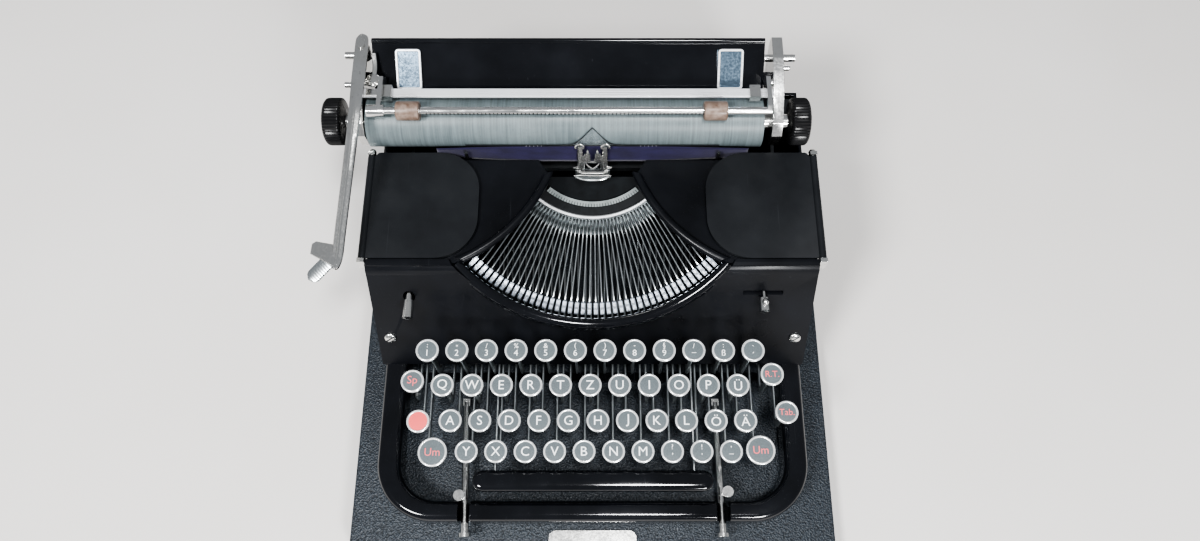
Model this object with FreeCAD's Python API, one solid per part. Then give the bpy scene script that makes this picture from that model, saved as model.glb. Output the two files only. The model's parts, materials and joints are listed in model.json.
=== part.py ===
import FreeCAD, Part
import math
import os

from FreeCAD import Rotation, Vector

# Portable front-strike typewriter on the base board of its carrying case.
# Millimetres. X to the right, Y to the back, Z up.
# Origin: centre of the board's underside, on the machine's middle plane.

# ---- driving dimensions -------------------------------------------------
KEY_PITCH = 19.05
BOARD_WIDTH = 327.0
BOARD_DEPTH = 325.0
BOARD_THICK = 15.0
BODY_WIDTH = 291.0
BODY_TOP = 112.0
FRAME_WIDTH = 288.6
FRAME_FRONT = -141.0
FRAME_BACK = 150.5
PLATEN_RADIUS = 16.5
PLATEN_LEFT = -148.0
PLATEN_LENGTH = 260.0
PRINT_POINT = Vector(0, 91.5, BODY_TOP + 10.0)

# ---- clearances and stock ----------------------------------------------
RUN = 0.05
GAP = 0.5
SHEET = 2.5

# ---- base ---------------------------------------------------------------
FOOT_HEIGHT = 6.0
FOOT_RADIUS = 6.0
RAIL_HEIGHT = 18.0
RAIL_SIDE = 15.5
RAIL_FRONT = 13.2
RAIL_CORNER = 39.0
RAIL_ROUND = 4.6
RAIL_Z0 = BOARD_THICK + FOOT_HEIGHT
RAIL_Z1 = RAIL_Z0 + RAIL_HEIGHT
FRAME_HALF = FRAME_WIDTH / 2
FRAME_INNER = FRAME_HALF - RAIL_SIDE
BAR_LEFT = -81.0
BAR_RIGHT = 82.0
ROD_RADIUS = 2.5
ROD_Z = 27.0
ROD_GAP = 4.0
ROD_FRONT_Y = FRAME_FRONT - 9.0
ROD_BACK_Y = -60.0
ROD_LEFT_X = (-84.5, -87.6)
ROD_RIGHT_X = (86.4, 84.9)
ROD_FLANGE = 1.6
ROD_FLANGE_LONG = 2.5
ROD_FOOT = 5.0
NUT_RADIUS = 3.8
NUT_TALL = 7.0
NUT_PLACES = ((-89.3, -123.4), (90.6, -121.0))
STRAP_DEEP = 7.0
STRAP_THICK = 2.0
STRAP_REACH = 20.0
STRAP_LIFT = 0.5
CROSS_THICK = 1.2

# ---- body ---------------------------------------------------------------
BODY_HALF = BODY_WIDTH / 2
WALL_INNER = BODY_HALF - SHEET
COWL_FOOT_Y = -35.5
SHOULDER_Y = 11.6
BEND_DROP = 7.0
BEND_BACK = 6.51
COWL_SLOPE = (SHOULDER_Y - BEND_BACK - COWL_FOOT_Y) / (BODY_TOP - BEND_DROP - RAIL_Z1)
SHOULDER_STRIP = 2.4
REAR_TOP = BODY_TOP - 20.0
COVER_FRONT_Y = 14.0
COVER_BACK_Y = 90.2
COVER_INNER_X = 74.5
COVER_CORNER = 28.0
COVER_THICK = 2.4
COVER_LIP = 4.0
HINGE_X = BODY_HALF + 2.0
HINGE_Z = BODY_TOP - 0.2
HINGE_RADIUS = 1.5
BARREL_RADIUS = 2.6
HINGE_SHORT = 2.8
BALL_RADIUS = 2.6
DECK_TOP = BODY_TOP - 2.0
DECK_BACK_Y = 86.0
LIP_RADIUS = 2.9
WALL_TOP = BODY_TOP - 2 * SHEET
COLOUR_PIN_X = 112.0
COLOUR_PIN_Z = BODY_TOP - 19.2
COLOUR_SLOT = 3.0
COLOUR_SLIDE = 14.0
COLOUR_TRAVEL = 11.5
TOUCH_PIN_X = -120.0
TOUCH_PIN_Z = BODY_TOP - 22.0
TOUCH_PIN_RADIUS = 3.4

# ---- type basket, in a frame tilted about X ------------------------------
BAR_COUNT = 44
BAR_ANGLE = 2.326
TILT = 45.0
PIVOT_RADIUS = 62.0
AXIS_DROP = 16.2
BAR_LENGTH = 64.1
BAR_RISE = 45.8
BAR_THICK = 0.9
SLOT_WIDTH = 1.3
WIRE_RADIUS = 0.9
HUB_RADIUS = 2.4
SLUG_LONG = 9.0
SLUG_DEEP = 5.0
SLUG_WIDE = 3.2
SLUG_TURN = 60.0
SEGMENT_SPAN = 56.0
SEGMENT_EDGE = 8.0
RIM_RADIUS = 111.0
RIM_BEAD = 4.0
RIM_HEIGHT = 60.0
RIM_SPAN = 53.0

# ---- keys ----------------------------------------------------------------
CAP_RADIUS = 7.5
SHIFT_CAP_RADIUS = 9.5
CAP_THICK = 4.0
LEVER_THICK = 2.0
LEVER_TALL = 5.0
LEVER_Z = 33.0
STEM_DEEP = 4.0
SHAFT_Y = 95.0
SHAFT_RADIUS = 3.0
LEVER_HUB = 6.0
JOG_Z = 54.0
JOG_TALL = 4.0
ROWS = {
    "key_row_lower": (-81.50, -99.6, 61.0, 10),
    "key_row_home": (-91.60, -81.4, 70.0, 11),
    "key_row_upper": (-96.60, -60.3, 79.0, 11),
    "key_row_numbers": (-106.10, -39.7, 88.0, 12),
}
H_ROW = "key_row_home"
H_INDEX = 5
H_BAR = 22
# cap X, cap Y, cap top Z, lever X, cap radius
FUNCTION_KEYS = {
    "margin_release_key": (-115.4, -58.5, 82.0, -119.4, CAP_RADIUS),
    "shift_lock_key": (-111.9, -82.3, 72.0, -115.5, CAP_RADIUS),
    "shift_key_left": (-103.4, -100.1, 61.0, -111.0, SHIFT_CAP_RADIUS),
    "shift_key_right": (109.0, -98.8, 61.0, 109.0, SHIFT_CAP_RADIUS),
    "backspace_key": (115.8, -53.9, 82.0, 115.8, CAP_RADIUS),
    "tab_key": (125.0, -76.9, 74.0, 125.0, CAP_RADIUS),
}
SPACE_LEFT = -78.0
SPACE_RIGHT = 79.0
SPACE_Y = -116.7
SPACE_DEEP = 13.5
SPACE_END_FLAT = 1.05
SPACE_TOP = 52.0
SPACE_TALL = 8.0
SPACE_ARMS = (-65.2, 68.1)
SPACE_ARM_THICK = 1.5

# ---- inner frame -----------------------------------------------------------
PLATE_THICK = 2.4
PLATE_OUTER = FRAME_INNER
PLATE_INNER = PLATE_OUTER - PLATE_THICK
PLATE_FRONT_Y = -26.0
PLATE_BACK_Y = 140.0
PLATE_TOP = BODY_TOP - 32.0
TOWER_TOP = BODY_TOP - 14.0
TOWER_Y = 79.0
COMB_Y = -8.0
COMB_THICK = 2.5
COMB_SIDE = 0.6
SHELF_INNER = 88.0
SHELF_Z = BODY_TOP - 38.0
SHELF_THICK = 3.0
SPOOL_X = 109.5
SPOOL_Y = 52.0
SPOOL_Z = BODY_TOP - 26.0
SPOOL_RADIUS = 25.0
SPOOL_TALL = 14.0
SPINDLE_RADIUS = 2.5
RIBBON_BAR_Z = BODY_TOP - 19.0
DRUM_PLACE = (-104.0, 62.0)
DRUM_Y = 128.0
DRUM_RADIUS = 18.0
DRUM_WIDE = 12.0
DRUM_STUD = 3.0
GUIDE_POST_X = 84.0

# ---- ribbon and type guide ---------------------------------------------------
RIBBON_WIDTH = 13.0
RIBBON_THICK = 0.3
RIBBON_FOOT = Vector(0, 86.0, BODY_TOP - 3.7)
RIBBON_LEAN = 20.0
RIBBON_END_X = 104.0
RIBBON_MID_X = 42.0
RIBBON_END_Y = 91.0
RIBBON_END_Z = BODY_TOP - 7.5
VIBRATOR_OFFSET = 1.4
FORK_OFFSET = 3.6
CARD_RADIUS = PLATEN_RADIUS + 0.4
CARD_THICK = 0.5
CARD_HALF = 84.0
PEAK_HALF = 12.5
PEAK_ANGLE = 52.0

# ---- carriage -----------------------------------------------------------------
AXIS_Y = PRINT_POINT.y + PLATEN_RADIUS + GAP
PLATEN_BACK = AXIS_Y + PLATEN_RADIUS
AXIS_Z = PRINT_POINT.z
SHAFT_R = 5.0
SHAFT_LEFT = -177.5
SHAFT_RIGHT = 143.5
KNOB_RADIUS = 15.5
KNOB_WIDE = 14.6
END_LEFT = (-155.0, -150.0)
END_RIGHT = (118.0, 125.0)
END_TOP = AXIS_Z + 27.5
BEAM_Y = (AXIS_Y + 18.5, AXIS_Y + 37.5)
BEAM_Z = (AXIS_Z - 27.4, AXIS_Z - 18.0)
RAIL_Y = (AXIS_Y + 19.5, AXIS_Y + 35.5)
RAIL_Z = (AXIS_Z - 40.0, AXIS_Z - 28.0)
TABLE_LEFT = -144.4
TABLE_RIGHT = 113.0
TABLE_FOOT = (PLATEN_BACK + 3.0, AXIS_Z + 10.0)
TABLE_HEAD = (PLATEN_BACK + 27.0, AXIS_Z + 29.0)
TABLE_THICK = 2.0
TABLE_RIM = 1.9
TABLE_FOLD = 3.0
TABLE_FOLD_DROP = 20.0
GUIDE_WIDE = 16.5
GUIDE_GAP = 0.4
GUIDE_THICK = 1.0
GUIDE_DROP = 5.4
GUIDE_LEFT_X = -129.0
GUIDE_RIGHT_X = 82.5
MARGIN_Y = (AXIS_Y + 6.0, AXIS_Y + 12.0)
MARGIN_Z = (AXIS_Z + PLATEN_RADIUS + 3.0, AXIS_Z + PLATEN_RADIUS + 5.0)
STOP_WIDE = 7.0
BAIL_Y = AXIS_Y - 5.5
BAIL_ROD = 2.5
ROLLER_RADIUS = 6.2
ROLLER_WIDE = 15.0
ROLLER_LEFT_X = -125.8
ROLLER_RIGHT_X = 71.7
BAIL_PIVOT = (PLATEN_BACK + 1.0, AXIS_Z + 20.0)
BAIL_PIN = 2.0
BAIL_ARM = 3.0
BAIL_ARM_LEFT = -138.2
BAIL_LEFT = -144.8
BAIL_RIGHT = 115.4
BAIL_SLEEVE = 4.0
BAIL_SLEEVE_LONG = 11.2
BAIL_ARM_TOP = AXIS_Z + 27.4
BAIL_ARM_LOW = AXIS_Z + 24.3
RELEASE_RADIUS = 2.5
RELEASE_LONG = 20.0
RELEASE_LEFT = (149.0, AXIS_Z + 17.0)
RELEASE_RIGHT = (147.0, AXIS_Z + 17.0)
RELEASE_OUT = 9.5
LEVER_PIVOT = Vector(-150.2, 146, AXIS_Z + 31.0)
LEVER_TOP_Y = 154.5
RETURN_THICK = 3.0
PIVOT_STUD = 2.5
# station Y, X, Z and half width along the return lever
RETURN_PATH = (
    (LEVER_TOP_Y, -150.4, LEVER_PIVOT.z, 3.6), (LEVER_PIVOT.y, LEVER_PIVOT.x, LEVER_PIVOT.z, 4.3),
    (118, -150.1, LEVER_PIVOT.z, 4.2), (103, -150.2, AXIS_Z + 30, 3.9), (92, -151.0, AXIS_Z + 27.5, 3.7),
    (71.6, -152.8, AXIS_Z + 22, 3.5), (43, -155.0, AXIS_Z + 15.5, 3.4), (12, -156.9, AXIS_Z + 9.5, 3.4),
)

PARTS = {}


# ---- helpers --------------------------------------------------------------------
def keep(name, shape):
    """Store a finished sub-part under its node name."""
    PARTS[name] = shape


def box(x, y, z):
    """Box between the low and high value of each pair."""
    size = [high - low for low, high in (x, y, z)]
    return Part.makeBox(*size, Vector(x[0], y[0], z[0]))


def rod(start, end, radius):
    """Round rod from one point to another."""
    return Part.makeCylinder(radius, (end - start).Length, start, end - start)


def prism(points, axis, low, high):
    """Polygon extruded along X (points are Y,Z) or along Z (points are X,Y)."""
    if axis == "X":
        corners = [Vector(low, a, b) for a, b in points]
        way = Vector(high - low, 0, 0)
    else:
        corners = [Vector(a, b, low) for a, b in points]
        way = Vector(0, 0, high - low)
    return Part.Face(Part.makePolygon(corners + corners[:1])).extrude(way)


def fuse(shapes):
    """One solid out of several, with the seams between them removed."""
    first, *rest = shapes
    joined = first.multiFuse(rest).removeSplitter() if rest else first
    return joined.Solids[0] if len(joined.Solids) == 1 else joined


def cut(shape, tools):
    """Shape with the tools taken away."""
    left = shape.cut(tools)
    return left.Solids[0] if len(left.Solids) == 1 else left


def outline(x, y, corners):
    """Face at Z 0 with rounded corners: front left, front right, back right, back left."""
    (x0, x1), (y0, y1) = x, y
    turns = [(x0, y0, 1, 1), (x1, y0, -1, 1), (x1, y1, -1, -1), (x0, y1, 1, -1)]
    edges, ends = [], []
    for (cx, cy, sx, sy), r in zip(turns, corners):
        along_x = Vector(cx + sx * r, cy, 0)
        along_y = Vector(cx, cy + sy * r, 0)
        middle = Vector(cx + sx * r, cy + sy * r, 0) - Vector(sx, sy, 0) * (r / math.sqrt(2))
        order = (along_y, middle, along_x) if sx == sy else (along_x, middle, along_y)
        edges.append(Part.Arc(*order).toShape())
        ends.append((order[0], order[2]))
    for (_, leave), (reach, _) in zip(ends, ends[1:] + ends[:1]):
        edges.append(Part.LineSegment(leave, reach).toShape())
    return Part.Face(Part.Wire(Part.__sortEdges__(edges)))


def slab(x, y, z, corners):
    """Plate with rounded vertical corners."""
    face = outline(x, y, corners)
    face.translate(Vector(0, 0, z[0]))
    return face.extrude(Vector(0, 0, z[1] - z[0]))


def ring_part(points, span):
    """(radius, height) outline turned about Z over plus and minus span degrees round -Y."""
    face = Part.Face(Part.makePolygon([Vector(0, -r, h) for r, h in points + points[:1]]))
    turned = face.revolve(Vector(), Vector(0, 0, 1), 2 * span)
    turned.rotate(Vector(), Vector(0, 0, 1), -span)
    return turned.Solids[0] if turned.Solids else Part.Solid(turned)


def in_basket(shape):
    """Move a shape from the basket's own frame into the machine."""
    placed = shape.copy()
    placed.rotate(Vector(), Vector(1, 0, 0), TILT)
    placed.translate(basket_centre())
    return placed


def basket_centre():
    """Point on the basket's axis that the typebar pivots circle."""
    lean = math.radians(TILT)
    normal = Vector(0, -math.sin(lean), math.cos(lean))
    return PRINT_POINT - normal * AXIS_DROP


def mirrored(shape):
    """The same shape on the other side of the middle plane."""
    return shape.mirror(Vector(), Vector(1, 0, 0))


# ---- board and base frame ----------------------------------------------------------
def make_board():
    """Case base board, its lock plate and the two hold-down rods."""
    half_w, half_d = BOARD_WIDTH / 2, BOARD_DEPTH / 2
    board = slab((-half_w, half_w), (-half_d, half_d), (0, BOARD_THICK), (6, 6, 6, 6))
    rims = [e for e in board.Edges if e.BoundBox.ZLength < 0.01]
    keep("case_base_board", board.makeFillet(1.5, rims))

    plate_half, plate_back = 29.7, 18.0
    flat = slab(
        (-plate_half, plate_half), (-half_d + 1.5, -half_d + plate_back),
        (BOARD_THICK, BOARD_THICK + 1.0), (0.5, 0.5, 5, 5),
    )
    keep("board_lock_plate", flat)

    rods = []
    for x_front, x_back in (ROD_LEFT_X, ROD_RIGHT_X):
        front = Vector(x_front, ROD_FRONT_Y, ROD_Z)
        back = Vector(x_back, ROD_BACK_Y, ROD_Z)
        way = (back - front).normalize()
        bar = rod(front, back, ROD_RADIUS)
        flange = rod(front, front + way * ROD_FLANGE_LONG, ROD_RADIUS + ROD_FLANGE)
        half = ROD_FOOT / 2
        foot = box((x_back - half, x_back + half), (ROD_BACK_Y - half, ROD_BACK_Y + half), (BOARD_THICK, ROD_Z + 2))
        rods.append([bar, flange, foot])
    for pieces, (x, y) in zip(rods, NUT_PLACES):
        pieces.append(Part.makeCylinder(NUT_RADIUS, NUT_TALL, Vector(x, y, ROD_Z - NUT_TALL / 2)))
    keep("hold_down_rods", Part.makeCompound([fuse(pieces) for pieces in rods]))


def rail_ring():
    """Closed frame, before the front bar is parted from it."""
    outer = slab(
        (-FRAME_HALF, FRAME_HALF), (FRAME_FRONT, FRAME_BACK), (RAIL_Z0, RAIL_Z1),
        (RAIL_CORNER, RAIL_CORNER, 6, 6),
    )
    inner_corner = RAIL_CORNER - RAIL_FRONT
    inner = slab(
        (-FRAME_INNER, FRAME_INNER), (FRAME_FRONT + RAIL_FRONT, FRAME_BACK - RAIL_FRONT),
        (RAIL_Z0 - 1, RAIL_Z1 + 1), (inner_corner, inner_corner, 3, 3),
    )
    return outer.cut(inner)


def rounded_rail():
    """Frame whose open front part has rounded top edges."""
    ring = rail_ring()
    wide = (-FRAME_HALF - 1, FRAME_HALF + 1)
    tall = (RAIL_Z0 - 1, RAIL_Z1 + 1)
    front = ring.common(box(wide, (FRAME_FRONT - 1, COWL_FOOT_Y), tall)).Solids[0]
    back = ring.common(box(wide, (COWL_FOOT_Y, FRAME_BACK + 1), tall)).Solids[0]
    tops = [
        e for e in front.Edges
        if e.BoundBox.ZLength < 0.01 and e.BoundBox.ZMin > RAIL_Z1 - 0.1
        and not (e.BoundBox.YLength < 0.01 and e.BoundBox.YMin > COWL_FOOT_Y - 0.1)
    ]
    return front.makeFillet(RAIL_ROUND, tops), back


def make_frame():
    """Base frame with its joining strap, front bar and rubber feet."""
    front, back = rounded_rail()
    deep = (FRAME_FRONT - 1, FRAME_FRONT + RAIL_FRONT + 1)
    tall = (RAIL_Z0 - 1, RAIL_Z1 + 1)
    left_end = ROD_LEFT_X[0] - ROD_GAP
    right_end = ROD_RIGHT_X[0] + ROD_GAP
    notch = box((left_end, right_end), deep, tall)
    strap = box(
        (left_end - STRAP_REACH, right_end + STRAP_REACH),
        (FRAME_FRONT + STRAP_THICK, FRAME_FRONT + RAIL_FRONT - STRAP_THICK), (RAIL_Z0 - STRAP_THICK, RAIL_Z0),
    )
    cross_deep = (COWL_FOOT_Y - STRAP_DEEP, COWL_FOOT_Y)
    cross_end = FRAME_INNER + RAIL_SIDE / 2
    cross_low = BOARD_THICK + STRAP_LIFT
    cross = box((-cross_end, cross_end), cross_deep, (cross_low, cross_low + CROSS_THICK))
    lugs = [
        box(sorted((side * FRAME_INNER, side * cross_end)), cross_deep, (cross_low, RAIL_Z0 + STRAP_THICK))
        for side in (-1, 1)
    ]
    keep("base_frame", fuse([cut(front, [notch]), back, strap, cross] + lugs))
    bar = front.common(box((BAR_LEFT, BAR_RIGHT), deep, tall)).Solids[0]
    ends = [e for e in bar.Edges if e.BoundBox.XLength < 0.01]
    keep("front_rail_bar", bar.makeFillet(1.2, ends))

    feet = []
    for x in (-FRAME_HALF + RAIL_SIDE / 2, FRAME_HALF - RAIL_SIDE / 2):
        for y in (FRAME_FRONT + 50, FRAME_BACK - 40):
            feet.append(Part.makeCylinder(FOOT_RADIUS, FOOT_HEIGHT, Vector(x, y, BOARD_THICK)))
    keep("rubber_feet", Part.makeCompound(feet))


# ---- body ---------------------------------------------------------------------------
def cowl_y(z):
    """Y of the sloped front at a height."""
    return COWL_FOOT_Y + COWL_SLOPE * (z - RAIL_Z1)


def make_body():
    """Side walls and back wall."""
    run = SHEET * math.sqrt(1 + COWL_SLOPE ** 2)
    side = [
        (COWL_FOOT_Y + run, RAIL_Z1), (cowl_y(WALL_TOP) + run, WALL_TOP), (COVER_BACK_Y + 2.4, WALL_TOP),
        (COVER_BACK_Y + 10, REAR_TOP), (FRAME_BACK, REAR_TOP), (FRAME_BACK, RAIL_Z1),
    ]
    left = prism(side, "X", -BODY_HALF, -WALL_INNER)
    right = prism(side, "X", WALL_INNER, BODY_HALF)
    back = box((-WALL_INNER, WALL_INNER), (FRAME_BACK - SHEET, FRAME_BACK), (RAIL_Z1, REAR_TOP))
    stud_x, stud_z = DRUM_PLACE
    stud = rod(Vector(stud_x, DRUM_Y, stud_z), Vector(stud_x, FRAME_BACK - SHEET / 2, stud_z), DRUM_STUD)
    keep("body_shell", fuse([left, right, back, stud]))


def cover_face(grow):
    """Left spool cover's outline, grown or shrunk all round."""
    inner = COVER_CORNER + grow
    return outline(
        (-BODY_HALF + 1 - grow, -COVER_INNER_X + grow),
        (COVER_FRONT_Y - grow, COVER_BACK_Y + grow), (3, inner, inner, 3),
    )


def lip_arc():
    """Curved inner edge of the left ribbon deck, from its tip to the shoulder."""
    return Part.Arc(Vector(-29.5, 76, 0), Vector(-48.5, 42.5, 0), Vector(-77, 18, 0))


def make_deck():
    """Left ribbon deck with its spool opening and its rolled lip."""
    arc = lip_arc()
    start, end = arc.StartPoint, arc.EndPoint
    corners = [end, Vector(-88, SHOULDER_Y, 0), Vector(-WALL_INNER, SHOULDER_Y, 0)]
    corners += [Vector(-WALL_INNER, DECK_BACK_Y, 0), Vector(-36, DECK_BACK_Y, 0), start]
    edges = [arc.toShape()]
    edges += [Part.LineSegment(a, b).toShape() for a, b in zip(corners, corners[1:])]
    face = Part.Face(Part.Wire(Part.__sortEdges__(edges)))
    face.translate(Vector(0, 0, DECK_TOP - SHEET))
    plate = face.extrude(Vector(0, 0, SHEET))
    well = cover_face(-COVER_LIP)
    well.translate(Vector(0, 0, DECK_TOP - 2 * SHEET))
    plate = cut(plate, [well.extrude(Vector(0, 0, 3 * SHEET))])
    circle = arc.toShape().Curve
    bead = Part.makeTorus(
        circle.Radius, LIP_RADIUS, circle.Center + Vector(0, 0, DECK_TOP), Vector(0, 0, 1)
    )
    reach = prism([(-24, 78), (-30, 30), (-70, 8), (-92, 16), (-60, 60)], "Z", DECK_TOP - 5, DECK_TOP + 5)
    return fuse([plate, bead.common(reach).Solids[0]])


def make_cowl():
    """Sloped front with its shoulder, the basket opening and both ribbon decks."""
    run = SHEET * math.sqrt(1 + COWL_SLOPE ** 2)
    bend = BODY_TOP - BEND_DROP
    inside = WALL_TOP
    profile = [
        (COWL_FOOT_Y, RAIL_Z1), (cowl_y(bend), bend), (cowl_y(bend) + 1.6, bend + 3.6),
        (cowl_y(bend) + 3.8, BODY_TOP - 1.2), (SHOULDER_Y - 2.5, BODY_TOP - 0.2), (SHOULDER_Y, BODY_TOP),
        (SHOULDER_Y + SHOULDER_STRIP - GAP, BODY_TOP), (SHOULDER_Y + SHOULDER_STRIP - GAP, inside),
        (cowl_y(inside) + run, inside), (COWL_FOOT_Y + run, RAIL_Z1),
    ]
    panel = prism(profile, "X", -BODY_HALF, BODY_HALF)
    basket_hole = in_basket(Part.makeCylinder(RIM_RADIUS, 150, Vector(0, 0, -20)))
    slot_half = COLOUR_TRAVEL + COLOUR_SLOT / 2
    colour_slot = box(
        (COLOUR_PIN_X - GAP - slot_half, COLOUR_PIN_X - GAP + slot_half), (-20, 20),
        (COLOUR_PIN_Z - COLOUR_SLOT / 2, COLOUR_PIN_Z + COLOUR_SLOT / 2),
    )
    touch_way = Vector(TOUCH_PIN_X, -25, TOUCH_PIN_Z)
    touch_hole = Part.makeCylinder(TOUCH_PIN_RADIUS + GAP, 40, touch_way, Vector(0, 1, 0))
    panel = cut(panel, [basket_hole, colour_slot, touch_hole])
    deck = make_deck()
    keep("front_cowl", fuse([panel, deck, mirrored(deck)]))

    face = Part.Face(Part.Wire(Part.makeCircle(RIM_BEAD, Vector(0, -RIM_RADIUS, RIM_HEIGHT), Vector(1, 0, 0))))
    rim = face.revolve(Vector(), Vector(0, 0, 1), 2 * RIM_SPAN)
    rim.rotate(Vector(), Vector(0, 0, 1), -RIM_SPAN)
    keep("basket_rim", cut(in_basket(rim), [PARTS["front_cowl"]]))

    screws = []
    way = Vector(0, -1, COWL_SLOPE).normalize()
    for x in (-137, 137):
        seat = Vector(x, cowl_y(60), 60)
        screws.append(Part.makeCylinder(4.0, 2.2, seat, way))
    keep("cowl_screws", Part.makeCompound(screws))


def make_covers():
    """Spool covers with their rolled hinge edges, and the hinge pins."""
    plate = cover_face(0)
    plate.translate(Vector(0, 0, DECK_TOP + GAP))
    plate = plate.extrude(Vector(0, 0, COVER_THICK))
    y_ends = (COVER_FRONT_Y, COVER_BACK_Y - HINGE_SHORT)
    flange = box((-HINGE_X, -BODY_HALF + 6), y_ends, (HINGE_Z - 0.2, HINGE_Z + 1.1))
    start = Vector(-HINGE_X, COVER_FRONT_Y, HINGE_Z)
    end = Vector(-HINGE_X, y_ends[1], HINGE_Z)
    barrel = rod(start, end, BARREL_RADIUS)
    bore = rod(start - Vector(0, 5, 0), end + Vector(0, 5, 0), HINGE_RADIUS + RUN)
    cover = cut(fuse([plate, flange, barrel]), [bore])
    keep("left_spool_cover", cover)
    keep("right_spool_cover", mirrored(cover))

    pin = rod(start - Vector(0, 3, 0), end + Vector(0, 3, 0), HINGE_RADIUS)
    ball = Part.makeSphere(BALL_RADIUS, end + Vector(0, 3.2, 0))
    wide = (-HINGE_X - BARREL_RADIUS, -BODY_HALF)
    tall = (HINGE_Z - 9, HINGE_Z + BARREL_RADIUS)
    lugs = [box(wide, (COVER_FRONT_Y - 3.4, COVER_FRONT_Y - 0.6), tall)]
    lugs.append(box(wide, (y_ends[1] + 0.6, y_ends[1] + 3.2), tall))
    hinge = fuse([pin, ball] + lugs)
    keep("cover_hinge_pins", Part.makeCompound([hinge, mirrored(hinge)]))


# ---- type basket ------------------------------------------------------------------------
def bar_angle(index):
    """Angle of a typebar round the basket's axis, from the middle plane."""
    return (index - (BAR_COUNT - 1) / 2) * BAR_ANGLE


def typebar(index):
    """Thin bar with its pivot hub and hole, and the type slug at its end."""
    along = math.radians(BAR_RISE)
    e1 = Vector(0, -math.cos(along), math.sin(along))
    e2 = Vector(0, math.sin(along), math.cos(along))
    pivot = Vector(0, -PIVOT_RADIUS, 0)

    def plate(points, thick):
        corners = [pivot + e1 * a + e2 * b - Vector(thick / 2, 0, 0) for a, b in points]
        return Part.Face(Part.makePolygon(corners + corners[:1])).extrude(Vector(thick, 0, 0))

    end = BAR_LENGTH
    shank = [(0, 1.2), (end - 6, 1.2), (end - 2, -1.5), (end - 2, -4.5), (end - 7, -3.4), (0, -1.2)]
    turn = math.radians(SLUG_TURN)
    nx, ny = math.cos(turn), math.sin(turn)
    half = SLUG_LONG / 2
    slug = [
        (end + side * half * ny - depth * nx, -side * half * nx - depth * ny)
        for side, depth in ((1, 0), (-1, 0), (-1, SLUG_DEEP), (1, SLUG_DEEP))
    ]
    hub = Part.makeCylinder(HUB_RADIUS, BAR_THICK, pivot - Vector(BAR_THICK / 2, 0, 0), Vector(1, 0, 0))
    hole = Part.makeCylinder(WIRE_RADIUS + RUN, 4, pivot - Vector(2, 0, 0), Vector(1, 0, 0))
    bar = cut(fuse([plate(shank, BAR_THICK), hub, plate(slug, SLUG_WIDE)]), [hole])
    bar.rotate(Vector(), Vector(0, 0, 1), bar_angle(index))
    return in_basket(bar)


def make_basket():
    """Slotted segment with its pivot wire, the bright ring, the graduated plate and the typebars."""
    r = PIVOT_RADIUS
    body = ring_part(
        [(r - 20, -8), (r + SEGMENT_EDGE, -8), (r + SEGMENT_EDGE, 1.5), (r - 2.9, 1.5), (r - 2.9, -3), (r - 20, -3)],
        SEGMENT_SPAN,
    )
    slots = []
    for i in range(BAR_COUNT):
        slot = box((-SLOT_WIDTH / 2, SLOT_WIDTH / 2), (-r - SEGMENT_EDGE - 2, -r + 2.9), (-3.4, 3))
        slot.rotate(Vector(), Vector(0, 0, 1), bar_angle(i))
        slots.append(slot)
    disc = Part.Face(Part.Wire(Part.makeCircle(WIRE_RADIUS, Vector(0, -r, 0), Vector(1, 0, 0))))
    wire = disc.revolve(Vector(), Vector(0, 0, 1), 2 * SEGMENT_SPAN - 2)
    wire.rotate(Vector(), Vector(0, 0, 1), -SEGMENT_SPAN + 1)
    keep("segment", in_basket(fuse([cut(body, slots), wire])))

    ring = ring_part([(r - 4.8, -3), (r - 3.1, -3), (r - 3.1, -0.9), (r - 4.8, -0.9)], SEGMENT_SPAN - 1)
    keep("type_ring", in_basket(ring))

    band = ring_part([(r - 16.4, -3), (r - 12.4, -3), (r - 12.4, 0), (r - 16.4, 0)], 40)
    disc = Part.makeCylinder(r - 16.3, 2, Vector(0, 0, -3))
    below = box((-60, 60), (-28, 60), (-10, 10))
    plate = disc.cut(below)
    keep("graduated_plate", in_basket(fuse([band, plate])))

    others = [typebar(i) for i in range(BAR_COUNT) if i != H_BAR]
    keep("typebars", Part.makeCompound(others))
    keep("typebar_h", typebar(H_BAR))


def lean_plate(points, offset, thick):
    """Plate parallel to the ribbon: points are X and distance up from the ribbon's foot."""
    lean = math.radians(RIBBON_LEAN)
    up = Vector(0, math.sin(lean), math.cos(lean))
    out = Vector(0, -math.cos(lean), math.sin(lean))
    corners = [RIBBON_FOOT + Vector(x, 0, 0) + up * s + out * offset for x, s in points]
    return Part.Face(Part.makePolygon(corners + corners[:1])).extrude(out * thick)


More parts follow.
